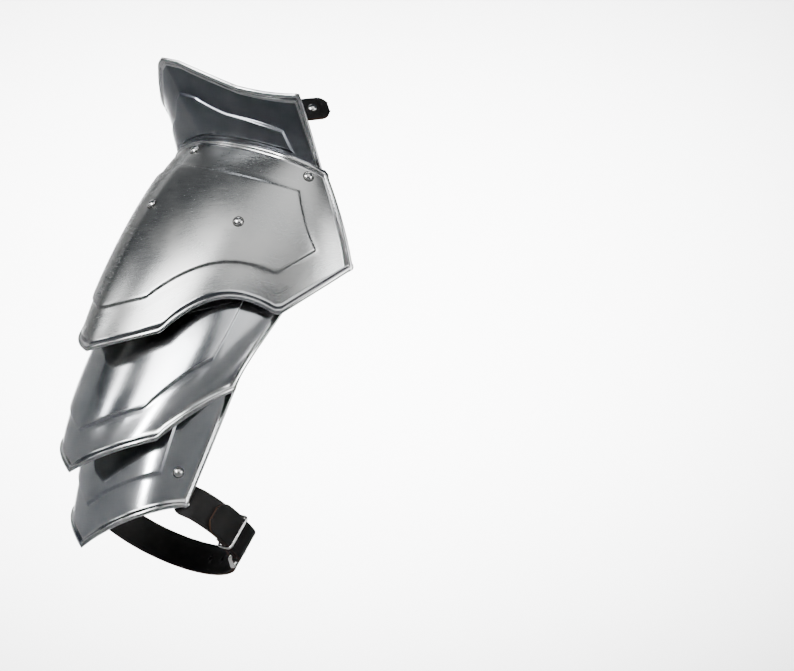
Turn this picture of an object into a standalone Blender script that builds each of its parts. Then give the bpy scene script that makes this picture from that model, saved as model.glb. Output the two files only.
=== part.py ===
"""Pauldron: shoulder plate, standing neck guard and two hanging lames for a right shoulder.

Metres, +Z up. The wearer faces -Y and the arm points to -X. The origin is the shoulder seat:
the point of the main plate's inner face that rests on top of the shoulder.
"""
import math

import bmesh
import bpy
import numpy as np
from mathutils import Matrix, Vector

# Driving sizes: steel
WALL = 0.0012
EMBOSS = 0.0015
STEP_WIDTH = 0.0025
LIP_HEIGHT = 0.0016
LIP_WIDTH = 0.0042

# Driving sizes: fit
GAP = 0.0003
HOLE_GAP = 0.0003
PEEN_GAP = 0.0008
NECK_GAP = 0.0016

# Driving sizes: main plate
MAIN_REACH = 0.110
MAIN_DROP = 0.166
MAIN_HALF = 0.112
MAIN_WRAP = 0.060
SEAT_SHARE = 0.20

# Driving sizes: neck guard
NECK_REACH = 0.041
NECK_RISE = 0.0616
NECK_HALF = 0.090
NECK_WRAP = 0.052
FLANGE_SHARE = 0.155
FLANGE_TUCK = 0.06
TUCK_RUN = 1 / 3

# Driving sizes: upper lame, nested under the main plate
UPPER_FROM = 0.66
UPPER_INSET = 0.025
UPPER_REACH = 0.065
UPPER_DROP = 0.146
UPPER_HALF = 0.104
UPPER_WRAP = 0.084

# Driving sizes: lower lame, nested under the upper lame
LOWER_FROM = 0.59
LOWER_INSET = 0.019
LOWER_REACH = 0.029
LOWER_DROP = 0.114
LOWER_HALF = 0.072
LOWER_WRAP = 0.0665

# Driving sizes: rivets
RIVET_HEAD = 0.0040
RIVET_DOME = 0.0026
RIVET_SHANK = 0.0018
RIVET_PEEN = 0.0032
PEEN_THICKNESS = 0.0012
RIVET_SIDES = 8
HOLE_DEPTH = 0.010
MERGE = 0.0001
WELD = 0.000001

# Driving sizes: leather
LEATHER = 0.0020
LEATHER_WIDTH = 0.022
LEATHER_SLACK = 0.0003
STRAP = 0.0025
STRAP_WIDTH = 0.025

# Driving sizes: arm strap, an ellipse in a plane tilted down towards the body
LOOP_TILT = 35.0
LOOP_REACH = 0.058
LOOP_CENTRE = 0.032
BUCKLE_ANGLE = 62.0
BAR = 0.0016
PRONG = 0.0011
PRONG_LEAN = 6.0
PRONG_PAST = 0.4
KEEPER_WIRE = 0.0011
BUCKLE_LENGTH = 0.018
FRAME_CORNER = 0.0021
FRAME_SLACK = 0.0004
KEEPER_CORNER = 0.0028
KEEPER_BACK = 0.0165
KEEPER_SLACK = 0.0010
FREE_END = 0.034
TAB_RETURN = 0.024
POINT_LENGTH = 0.008
POINT_NARROWING = 0.82

# Driving sizes: suspension strap
NECK_STRAP_WIDTH = 0.022
NECK_STRAP_REACH = 0.098
NECK_STRAP_RISE = 0.033
NECK_STRAP_FORWARD = 0.030
NECK_STRAP_TWIST = 48.0
NECK_STRAP_FLAT = 0.026
END_RIVET_BACK = 0.013
STRAP_CLEAR = 0.0018
NECK_STRAP_DEPTH = WALL + NECK_GAP + WALL + STRAP_CLEAR
NECK_STRAP_BOW = 2.2
NECK_STRAP_ROOT = (0.15, 0.115, 0.085, 0.05, 0.02)
LAND_FROM = 0.0014
LAND_LENGTH = 0.0062
END_NOD = 2.0

# Steps for reading a surface's slopes, as shares
SURFACE_STEP = 1e-4
LINE_STEP = 0.01

# Sections along each stretch of strap, and steps round a bar's corner
LOOP_SECTIONS = 19
TAB_SECTIONS = 9
FREE_SECTIONS = 5
RETURN_SECTIONS = 3
POINT_SECTIONS = 3
NECK_STRAP_SECTIONS = 9
PRONG_SECTIONS = 4
CORNER_STEPS = 3
FOLD_DEGREES = (90, 60, 30, 0, -30, -60, -90)

# How softly each plate turns over its ridge, as a share of its half width
RIDGE_SOFTNESS = 0.015

# Share of the panel's depth over which a raised line fades into the flange
FLANGE_FADE = 0.125

# Least spacing of a plate's columns, and how far its last column keeps from the panel's side
COLUMN_SPACING = 0.035
SIDE_SPACING = 0.07

# Columns of each section table, lengths as shares of the plate's sizes: ridge out, ridge down
# (up on the guard), edge in, edge half, edge down (up on the guard), and the bend in degrees
# where the section leaves the ridge and where it meets the edge.
MAIN_SECTIONS = [
    (0.000, 0.000, 0.817, 0.786, 0.163, 10, 86),
    (0.400, 0.271, 0.900, 0.902, 0.373, 10, 86),
    (0.773, 0.651, 0.973, 0.970, 0.590, 10, 86),
    (1.000, 1.000, 1.000, 1.000, 0.807, 10, 86),
]
NECK_SECTIONS = [
    (0.000, 0.000, 0.942, 0.961, -0.438, 10, 86),
    (0.561, 0.552, 0.730, 0.960, 0.060, 22, 70),
    (1.000, 1.000, 0.462, 1.000, 0.520, 30, 62),
]
UPPER_SECTIONS = [
    (0.000, 0.000, 1.144, 0.820, -0.150, 8, 84),
    (0.400, 0.342, 0.880, 0.875, 0.110, 8, 84),
    (0.754, 0.685, 0.526, 0.846, 0.370, 8, 84),
    (1.000, 1.000, 0.333, 0.750, 0.616, 8, 84),
]
LOWER_SECTIONS = [
    (0.000, 0.000, 1.000, 1.000, -0.140, 8, 84),
    (0.586, 0.500, 0.639, 0.944, 0.333, 8, 84),
    (1.000, 1.000, 0.286, 0.847, 0.825, 8, 84),
]

# Lines drawn on a plate: share from ridge to front edge, share down the plate, and the
# rise of the arch that runs from this row to the next.
MAIN_LINES = {
    "top": [(0, 0.0, 0), (1, 0.0, 0)],
    "panel_top": [(0, 0.175, 0), (0.76, 0.215, 0)],
    "panel_bottom": [(0, 0.79, 0), (0.215, 0.755, -0.10), (0.70, 0.69, 0), (0.85, 0.57, 0)],
    "bottom": [(0, 0.975, 0), (0.32, 0.915, -0.13), (0.725, 0.918, 0), (1, 0.69, 0)],
    "side": (0.76, 0.85),
}
NECK_LINES = {
    "top": [(0, 1.04, 0), (0.12, 1.03, -0.02), (0.50, 0.83, -0.045), (1, 1.02, 0)],
    "panel_top": [(0, 0.57, 0), (0.11, 0.54, -0.02), (0.31, 0.39, 0), (0.73, 0.37, 0)],
    "panel_bottom": [(0, 0.07, 0), (0.73, 0.07, 0)],
    "waist": [(0, 0.0, 0), (1, 0.0, 0)],
    "bottom": [(0, -1.0, 0), (1, -1.0, 0)],
    "side": (0.73, 0.73),
}
UPPER_LINES = {
    "top": [(0, 0.0, 0), (1, 0.0, 0)],
    "panel_top": [(0, 0.22, 0), (0.70, 0.22, 0)],
    "panel_bottom": [(0, 0.775, -0.02), (0.41, 0.735, -0.03), (0.705, 0.58, 0)],
    "bottom": [(0, 1.0, -0.05), (0.57, 0.99, -0.045), (1, 0.955, 0)],
    "side": (0.705, 0.705),
}
LOWER_LINES = {
    "top": [(0, 0.0, 0), (1, 0.0, 0)],
    "panel_top": [(0, 0.22, 0), (0.61, 0.22, 0)],
    "panel_bottom": [(0, 0.73, -0.05), (0.615, 0.59, 0)],
    "bottom": [(0, 1.0, -0.10), (1, 0.905, 0)],
    "side": (0.61, 0.615),
}

# Grid of each plate: columns to the panel's side, columns over the border, rows down the
# panel, whether its top and its bottom edge are rolled, and the rows of its flange.
PLATE_GRIDS = {
    "main_plate": (7, 2, 7, 1, 1, 0),
    "neck_guard": (6, 2, 4, 1, 0, 5),
    "upper_lame": (6, 2, 5, 0, 1, 0),
    "lower_lame": (6, 2, 4, 0, 1, 0),
}

# Rolled edge: share of its width in from the edge, and share of its height.
LIP_PROFILE = [(0.0, 0.35), (0.28, 1.0), (0.66, 1.0), (1.0, 0.0)]

# Hidden leathers: plate, share from ridge to edge, share down, slack as a share of the
# leather's thickness, raised with the panel.
CENTRE_LEATHER = [
    ("main_plate", 0.0, 0.31, 0.0, 1), ("main_plate", 0.0, 0.37, 0.0, 1),
    ("main_plate", 0.0, 0.43, 0.0, 1), ("upper_lame", 0.0, -0.03, 1.25, 0),
    ("upper_lame", 0.0, 0.05, 0.3, 0), ("upper_lame", 0.0, 0.09, 0.0, 0),
    ("upper_lame", 0.0, 0.17, 0.0, 0), ("upper_lame", 0.0, 0.23, 0.75, 0),
    ("lower_lame", 0.0, -0.03, 1.25, 0), ("lower_lame", 0.0, 0.05, 0.3, 0),
    ("lower_lame", 0.0, 0.09, 0.0, 0), ("lower_lame", 0.0, 0.20, 0.0, 0),
]
SIDE_LEATHER = [
    ("main_plate", 0.49, 0.37, 0.0, 1), ("main_plate", 0.49, 0.43, 0.0, 1),
    ("main_plate", 0.50, 0.49, 0.0, 1), ("upper_lame", 0.54, -0.03, 1.25, 0),
    ("upper_lame", 0.55, 0.05, 0.3, 0), ("upper_lame", 0.55, 0.09, 0.0, 0),
    ("upper_lame", 0.55, 0.17, 0.0, 0), ("upper_lame", 0.55, 0.23, 0.75, 0),
    ("lower_lame", 0.46, -0.03, 1.25, 0), ("lower_lame", 0.46, 0.05, 0.3, 0),
    ("lower_lame", 0.46, 0.09, 0.0, 0), ("lower_lame", 0.46, 0.20, 0.0, 0),
]
LEATHER_ACROSS = (-1.0, -0.5, 0.0, 0.5, 1.0)

# Rivets: name, plate, share from ridge to edge, share down, raised, layers below the plate.
RIVETS = [
    ("neck_rivet_ridge", "main_plate", 0.0, 0.085, 0, "neck guard and strap"),
    ("neck_rivet_front", "main_plate", 0.81, 0.105, 0, "neck guard"),
    ("neck_rivet_rear", "main_plate", -0.81, 0.105, 0, "neck guard"),
    ("main_rivet_ridge", "main_plate", 0.0, 0.37, 1, "leather"),
    ("main_rivet_front", "main_plate", 0.49, 0.43, 1, "leather"),
    ("main_rivet_rear", "main_plate", -0.49, 0.43, 1, "leather"),
    ("upper_rivet_ridge", "upper_lame", 0.0, 0.13, 0, "leather"),
    ("upper_rivet_front", "upper_lame", 0.55, 0.13, 0, "leather"),
    ("upper_rivet_rear", "upper_lame", -0.55, 0.13, 0, "leather"),
    ("lower_rivet_ridge", "lower_lame", 0.0, 0.14, 0, "leather"),
    ("lower_rivet_front", "lower_lame", 0.46, 0.14, 0, "leather"),
    ("lower_rivet_rear", "lower_lame", -0.46, 0.14, 0, "leather"),
    ("strap_rivet_front", "lower_lame", 0.76, 0.61, 0, "strap"),
    ("strap_rivet_rear", "lower_lame", -0.76, 0.61, 0, "strap"),
]

# Where a strap leaves the lower lame: share from ridge to edge, share down.
STRAP_ON_LAME = [(0.69, 0.53), (0.76, 0.61), (0.86, 0.725), (0.95, 0.83)]
STRAP_SLACK = 0.0010

# Buckle passage of the strap: distance from the heel bar towards the front bar as a share
# of the buckle's length, and height over the strap line as a share of the fold's radius.
BILLET_PASS = [
    (1.75, 0.0), (1.35, -1.05), (1.10, -1.46), (0.88, -1.46), (0.61, -0.40),
    (0.33, 1.06), (0.0, 1.56), (-0.33, 1.36), (-0.67, 0.96),
]
BILLET_REST = 0.93

# Length of the tab before it folds, as a share of the buckle's
TAB_LEAD = 0.67

# How far past the lame, in radians of the loop, the strap takes up the loop's line
LOOP_LEAD = 0.16


def spread(count, start=0.0, end=1.0):
    """Evenly spaced shares from start to end, both included."""
    return [start + (end - start) * k / (count - 1) for k in range(count)]


def through(rows, t):
    """The smooth curve through evenly spaced rows of a table, read at share t."""
    rows = np.asarray(rows, float)
    t = np.asarray(t, float)
    knots = np.linspace(0.0, 1.0, len(rows))
    total = np.zeros(t.shape + (rows.shape[1],))
    for i, row in enumerate(rows):
        weight = np.ones_like(t)
        for j, knot in enumerate(knots):
            if j != i:
                weight = weight * (t - knot) / (knots[i] - knot)
        total += weight[..., None] * row
    return total


def line_height(rows, s):
    """Height of a drawn line at s: straight or arched from each row to the next."""
    s = np.abs(np.asarray(s, float))
    height = np.full(s.shape, float(rows[-1][1]))
    for (s0, t0, rise), (s1, t1, _) in zip(rows[:-1], rows[1:]):
        x = (s - s0) / (s1 - s0)
        here = (x >= 0.0) & (x <= 1.0)
        height = np.where(here, t0 + (t1 - t0) * x + 4.0 * rise * x * (1.0 - x), height)
    return height


def cross_unit(a, b):
    """Unit vectors square to both a and b."""
    c = np.cross(a, b)
    return c / np.linalg.norm(c, axis=-1, keepdims=True)


class Plate:
    """One steel plate: its outer face as a function of s, ridge to edge, and t, down."""

    def __init__(self, top, reach, drop, half, wrap, sections, lines):
        self.top = np.array(top, float)
        self.reach = reach
        self.drop = drop
        self.half = half
        self.wrap = wrap
        self.sections = sections
        self.lines = lines

    def sectioned(self, s, t):
        s, t = np.broadcast_arrays(np.asarray(s, float), np.asarray(t, float))
        row = through(self.sections, t)
        a0 = np.radians(row[..., 5])
        a1 = np.radians(row[..., 6])
        bend = a0 + np.abs(s) * (a1 - a0)
        side = (np.sin(bend) - np.sin(a0)) / (np.sin(a1) - np.sin(a0))
        eased = np.sqrt(side * side + RIDGE_SOFTNESS ** 2) - RIDGE_SOFTNESS
        eased = eased / (math.sqrt(1.0 + RIDGE_SOFTNESS ** 2) - RIDGE_SOFTNESS)
        sine = np.sin(a0) + eased * (np.sin(a1) - np.sin(a0))
        out = (np.sqrt(np.maximum(0.0, 1.0 - sine * sine)) - np.cos(a1)) / (np.cos(a0) - np.cos(a1))
        edge_x = self.wrap * row[..., 2]
        edge_z = -self.drop * row[..., 4]
        x = edge_x + (-self.reach * row[..., 0] - edge_x) * out
        z = edge_z + (-self.drop * row[..., 1] - edge_z) * out
        y = -np.sign(s) * self.half * row[..., 3] * side
        return np.stack([x, y, z], -1)

    def at(self, s, t):
        return self.top + self.sectioned(s, t)

    def along(self, s, t):
        """Change of place for each share along s, and along t."""
        e = SURFACE_STEP
        by_s = (self.at(np.asarray(s) + e, t) - self.at(np.asarray(s) - e, t)) / (2 * e)
        by_t = (self.at(s, np.asarray(t) + e) - self.at(s, np.asarray(t) - e)) / (2 * e)
        return by_s, by_t

    def normal(self, s, t):
        by_s, by_t = self.along(s, t)
        return cross_unit(by_t, by_s) * np.sign(self.drop)

    def offset(self, s, t, distance):
        """The point at a distance outside the plate's outer face."""
        return self.at(s, t) + self.normal(s, t) * np.asarray(distance)[..., None]


class NeckGuard(Plate):
    """The standing guard: it flares out above the main plate, and its flange lies inside."""

    def __init__(self, main, *sizes):
        super().__init__(*sizes)
        self.main = main

    def at(self, s, t):
        s, t = np.broadcast_arrays(np.asarray(s, float), np.asarray(t, float))
        below = np.clip(-t, 0.0, 1.0)
        tucked = s * (1.0 - FLANGE_TUCK * np.clip(below / TUCK_RUN, 0.0, 1.0))
        base = self.main.offset(tucked, FLANGE_SHARE * below, np.full(s.shape, -(WALL + NECK_GAP)))
        flare = self.sectioned(s, np.maximum(t, 0.0)) - self.sectioned(s, np.zeros_like(t))
        return base + flare


def plates():
    """The four plates, placed so that the origin is the shoulder seat."""
    main = Plate((0, 0, 0), MAIN_REACH, MAIN_DROP, MAIN_HALF, MAIN_WRAP, MAIN_SECTIONS, MAIN_LINES)
    seat = main.offset(0.0, SEAT_SHARE, EMBOSS - WALL)
    main.top = -seat
    neck = NeckGuard(main, main.top, NECK_REACH, -NECK_RISE, NECK_HALF, NECK_WRAP,
                     NECK_SECTIONS, NECK_LINES)
    nest = main.at(0.0, UPPER_FROM) + np.array([UPPER_INSET, 0, 0])
    upper = Plate(nest, UPPER_REACH, UPPER_DROP, UPPER_HALF, UPPER_WRAP, UPPER_SECTIONS, UPPER_LINES)
    nest = upper.at(0.0, LOWER_FROM) + np.array([LOWER_INSET, 0, 0])
    lower = Plate(nest, LOWER_REACH, LOWER_DROP, LOWER_HALF, LOWER_WRAP, LOWER_SECTIONS, LOWER_LINES)
    return {"main_plate": main, "neck_guard": neck, "upper_lame": upper, "lower_lame": lower}


def columns(plate, inner, border):
    """Columns from ridge to edge: share at the panel's top, at its bottom, inset, raised, lip."""
    side_top, side_bottom = plate.lines["side"]
    limit = min(side_top, side_bottom) - COLUMN_SPACING
    breaks = sorted({row[0] for name in ("panel_bottom", "bottom", "panel_top", "top")
                     for row in plate.lines[name] if 0.0 < row[0] < limit})
    shares = sorted(set(breaks) | set(spread(inner, 0.0, side_top - SIDE_SPACING)))
    kept = [shares[0]]
    for share in shares[1:]:
        if share - kept[-1] > COLUMN_SPACING:
            kept.append(share)
        elif share in breaks and kept[-1] not in breaks:
            kept[-1] = share
    rows = [(s, s + (side_bottom - side_top) * (s / side_top) ** 4, 0.0, 1.0, 0.0) for s in kept]
    rows.append((side_top, side_bottom, STEP_WIDTH, 1.0, 0.0))
    rows.append((side_top, side_bottom, 0.0, 0.0, 0.0))
    for k in range(1, border):
        share = k / border
        rows.append((side_top + (1 - side_top) * share, side_bottom + (1 - side_bottom) * share,
                     LIP_WIDTH * share, 0.0, 0.0))
    for share, height in reversed(LIP_PROFILE):
        rows.append((1.0, 1.0, LIP_WIDTH * share, 0.0, height))
    return rows


def levels(panel, border, top_lip, bottom_lip, flange):
    """Rows down the plate: the line before, the line after, share between, inset, raised, lip."""
    rows = []
    if top_lip:
        rows += [("top", "top", 0.0, LIP_WIDTH * share, 0.0, height) for share, height in LIP_PROFILE]
    else:
        rows.append(("top", "top", 0.0, 0.0, 0.0, 0.0))
    rows += [("top", "panel_top", k / border, LIP_WIDTH * (1 - k / border) * top_lip, 0.0, 0.0)
             for k in range(1, border)]
    rows.append(("panel_top", "panel_top", 0.0, 0.0, 0.0, 0.0))
    rows.append(("panel_top", "panel_top", 0.0, STEP_WIDTH, 1.0, 0.0))
    rows += [("panel_top", "panel_bottom", k / panel, 0.0, 1.0, 0.0) for k in range(1, panel)]
    rows.append(("panel_bottom", "panel_bottom", 0.0, -STEP_WIDTH, 1.0, 0.0))
    rows.append(("panel_bottom", "panel_bottom", 0.0, 0.0, 0.0, 0.0))
    if flange:
        rows += [("waist", "bottom", share, 0.0, 0.0, 0.0) for share in spread(flange)[:-1]]
    else:
        rows += [("panel_bottom", "bottom", k / border, -LIP_WIDTH * k / border * bottom_lip, 0.0, 0.0)
                 for k in range(1, border)]
    if bottom_lip:
        rows += [("bottom", "bottom", 0.0, -LIP_WIDTH * share, 0.0, height)
                 for share, height in reversed(LIP_PROFILE)]
    else:
        rows.append(("bottom", "bottom", 0.0, 0.0, 0.0, 0.0))
    return rows


def plate_points(plate, cols, rows):
    """Places of the plate's outer face on the half from ridge to front edge."""
    way = np.sign(plate.drop)
    grid = []
    for before, after, share, inset, raised, lip in rows:
        line = []
        for s_top, s_bottom, col_inset, col_raised, col_lip in cols:
            part = {"top": 0.0, "panel_top": 0.0}.get(before, 1.0)
            if before == "panel_top" and after == "panel_bottom":
                part = share
            s = s_top + (s_bottom - s_top) * part

            def height(at_s):
                a = line_height(plate.lines[before], at_s)
                b = line_height(plate.lines[after], at_s)
                return float(a + (b - a) * share)

            by_s, by_t = plate.along(s, height(s))
            if col_inset:
                s -= col_inset / np.linalg.norm(by_s)
            t = height(s)
            if inset:
                low, high = max(0.0, s - LINE_STEP), min(1.0, s + LINE_STEP)
                run = plate.at(high, height(high)) - plate.at(low, height(low))
                square = np.linalg.norm(np.cross(by_t, run)) / np.linalg.norm(run)
                t += way * inset / square
            rise = EMBOSS * min(raised, col_raised) + LIP_HEIGHT * max(lip, col_lip)
            rise *= min(1.0, max(0.0, 1.0 + t / FLANGE_FADE))
            line.append(plate.offset(s, t, rise))
        grid.append(line)
    return grid


def material(name, colour, metallic, roughness):
    made = bpy.data.materials.new(name)
    made.use_nodes = True
    shader = made.node_tree.nodes["Principled BSDF"]
    shader.inputs["Base Color"].default_value = (*colour, 1.0)
    shader.inputs["Metallic"].default_value = metallic
    shader.inputs["Roughness"].default_value = roughness
    return made


def add_object(name, mesh, collection, finish):
    obj = bpy.data.objects.new(name, mesh)
    collection.objects.link(obj)
    if finish is not None:
        colour, metallic, roughness = finish
        obj.data.materials.append(material(name, colour, metallic, roughness))
    return obj


def grid_mesh(name, grid):
    """A mesh of quads over a grid of places: a loft between unlike sections."""
    across = len(grid[0])
    places = [tuple(point) for line in grid for point in line]
    faces = []
    for j in range(len(grid) - 1):
        for i in range(across - 1):
            a = j * across + i
            faces.append((a, a + across, a + across + 1, a + 1))
    mesh = bpy.data.meshes.new(name)
    mesh.from_pydata(places, [], faces)
    mesh.shade_smooth()
    return mesh


def make_plate(name, plate, collection):
    inner, border, panel, top_lip, bottom_lip, flange = PLATE_GRIDS[name]
    rows = levels(panel, border, top_lip, bottom_lip, flange)
    grid = plate_points(plate, columns(plate, inner, border), rows)
    for line in grid:
        line[0][1] = 0.0
    obj = add_object(name, grid_mesh(name, grid), collection, STEEL)
    mirror = obj.modifiers.new("both_halves", "MIRROR")
    mirror.use_axis = (False, True, False)
    mirror.merge_threshold = MERGE
    wall = obj.modifiers.new("wall", "SOLIDIFY")
    wall.thickness = WALL
    wall.offset = -1.0
    return obj


def make_ribbon(name, centres, sides, thickness, collection, finish, offset=0.0):
    """A strap: a strip between its two long edges, given thickness."""
    grid = [[c - w, c + w] for c, w in zip(centres, sides)]
    obj = add_object(name, grid_mesh(name, grid), collection, finish)
    wall = obj.modifiers.new("thickness", "SOLIDIFY")
    wall.thickness = thickness
    wall.offset = offset
    return obj


def make_leather(name, rows, turn, made, collection):
    """A hidden leather that carries the lames: a strip along the plates' inner faces."""
    grid = []
    for plate_name, s, t, slack, raised in rows:
        plate = made[plate_name]
        by_s, _ = plate.along(turn * s, t)
        reach = LEATHER_WIDTH / 2 / np.linalg.norm(by_s)
        inward = WALL + GAP + LEATHER_SLACK + slack * LEATHER - EMBOSS * raised
        grid.append([plate.offset(turn * s + reach * k, t, -inward) for k in LEATHER_ACROSS])
    obj = add_object(name, grid_mesh(name, grid), collection, LEATHER_FINISH)
    wall = obj.modifiers.new("thickness", "SOLIDIFY")
    wall.thickness = LEATHER
    wall.offset = -1.0
    return obj


def turned(name, profile, sides, collection, finish):
    """A turned piece: the profile runs down its outer side and is spun about Z."""
    mesh = bpy.data.meshes.new(name)
    places = [(radius, 0.0, height) for radius, height in profile]
    mesh.from_pydata(places, [(k, k + 1) for k in range(len(places) - 1)], [])
    obj = add_object(name, mesh, collection, finish)
    screw = obj.modifiers.new("turn", "SCREW")
    screw.steps = sides
    screw.render_steps = sides
    screw.use_merge_vertices = True
    screw.merge_threshold = MERGE
    return obj


def rivet_profile(grip):
    """Domed head, shank and flat peened end; the head's underside is a gap off the face."""
    dome = [(RIVET_HEAD * math.sin(a), GAP + RIVET_DOME * math.cos(a))
            for a in (math.radians(d) for d in (0, 30, 60, 90))]
    return dome + [(RIVET_SHANK, GAP), (RIVET_SHANK, -grip), (RIVET_PEEN, -grip),
                   (RIVET_PEEN, -grip - PEEN_THICKNESS), (0.0, -grip - PEEN_THICKNESS)]


def stand(point, normal):
    """The placing that puts Z on the normal at the point."""
    turn = Vector(normal).to_track_quat("Z", "Y").to_matrix().to_4x4()
    return Matrix.Translation(Vector(point)) @ turn


def hole_cutter(name, place, radius, depth, cutters):
    obj = turned(name, [(0.0, depth), (radius, depth), (radius, -depth), (0.0, -depth)],
                 RIVET_SIDES, cutters, None)
    obj.matrix_world = place
    hide_cutter(obj)
    return obj


def hide_cutter(obj):
    obj.hide_render = True
    obj.display_type = "WIRE"


def cut(obj, cutter):
    hole = obj.modifiers.new("hole_" + cutter.name, "BOOLEAN")
    hole.operation = "DIFFERENCE"
    hole.solver = "EXACT"
    hole.object = cutter


def tube(name, places, radius, closed, collection, finish):
    """A wire or bar: a curve with a round section, made a mesh with welded caps."""
    curve = bpy.data.curves.new(name + "_line", "CURVE")
    curve.dimensions = "3D"
    curve.bevel_depth = radius
    curve.bevel_resolution = 2
    curve.use_fill_caps = not closed
    spline = curve.splines.new("POLY")
    spline.points.add(len(places) - 1)
    for point, place in zip(spline.points, places):
        point.co = (*place, 1.0)
    spline.use_cyclic_u = closed
    source = bpy.data.objects.new(name + "_line", curve)
    collection.objects.link(source)
    bpy.context.view_layer.update()
    solid = bpy.data.meshes.new_from_object(source.evaluated_get(bpy.context.evaluated_depsgraph_get()))
    bpy.data.objects.remove(source)
    weld(solid)
    solid.name = name
    solid.shade_smooth()
    return add_object(name, solid, collection, finish)


def weld(mesh):
    work = bmesh.new()
    work.from_mesh(mesh)
    bmesh.ops.remove_doubles(work, verts=work.verts, dist=WELD)
    work.to_mesh(mesh)
    work.free()


def rounded_frame(centre, long_way, wide_way, half_long, half_wide, corner):
    """Places round a rectangle with rounded corners."""
    places = []
    for turn in range(4):
        sign_long = 1 if turn in (0, 3) else -1
        sign_wide = 1 if turn in (0, 1) else -1
        for step in range(CORNER_STEPS + 1):
            angle = math.radians(90 * (turn + step / CORNER_STEPS))
            along = sign_long * (half_long - corner) + corner * math.cos(angle)
            across = sign_wide * (half_wide - corner) + corner * math.sin(angle)
            places.append(centre + long_way * along + wide_way * across)
    return places


class Loop:
    """The arm strap's way round the arm, in a plane tilted down towards the body."""

    def __init__(self, lower):
        tilt = math.radians(LOOP_TILT)
        self.inward = np.array([math.cos(tilt), 0.0, -math.sin(tilt)])
        self.across = np.array([math.sin(tilt), 0.0, math.cos(tilt)])
        self.lower = lower
        leave = self.on_lame(*STRAP_ON_LAME[-1])
        self.origin = np.array([leave[0], 0.0, leave[2]])
        self.start = math.acos(-LOOP_CENTRE / LOOP_REACH)
        self.half = -leave[1] / math.sin(self.start)

    def on_lame(self, s, t):
        return self.lower.offset(s, t, -(WALL + GAP + STRAP_SLACK + STRAP / 2))

    def at(self, angle, lift=0.0):
        """A place on the loop, a lift outside it; the angle is 0 at the inmost place."""
        out = np.array([math.cos(angle) / LOOP_REACH, math.sin(angle) / self.half])
        out /= np.linalg.norm(out)
        inward = LOOP_CENTRE + LOOP_REACH * math.cos(angle) + lift * out[0]
        side = self.half * math.sin(angle) + lift * out[1]
        return self.origin + self.inward * inward + np.array([0.0, -side, 0.0])

    def speed(self, angle):
        return math.hypot(LOOP_REACH * math.sin(angle), self.half * math.cos(angle))

    def frame(self, angle):
        """Directions at an angle: towards smaller angles, across the strap, outwards."""
        forward = self.at(angle - SURFACE_STEP) - self.at(angle + SURFACE_STEP)
        forward /= np.linalg.norm(forward)
        outward = self.at(angle, 1.0) - self.at(angle)
        return forward, self.across, outward


def side_at(loop, s, t):
    """Half the strap's width laid across it on the lame's inner face."""
    normal = loop.lower.normal(s, t)
    wide = loop.across - normal * np.dot(loop.across, normal)
    return wide / np.linalg.norm(wide) * STRAP_WIDTH / 2


def mirror_y(point):
    return point * np.array([1.0, -1.0, 1.0])


def tip_rows(centres, sides, length, count=POINT_SECTIONS):
    """Narrows the end of a strap to a blunt point."""
    forward = centres[-1] - centres[-2]
    forward = forward / np.linalg.norm(forward)
    full = sides[-1]
    for k in range(1, count + 1):
        share = k / count
        centres.append(centres[-1] + forward * length / count)
        sides.append(full * math.sqrt(1.0 - POINT_NARROWING * share * share))
    return centres, sides


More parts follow.
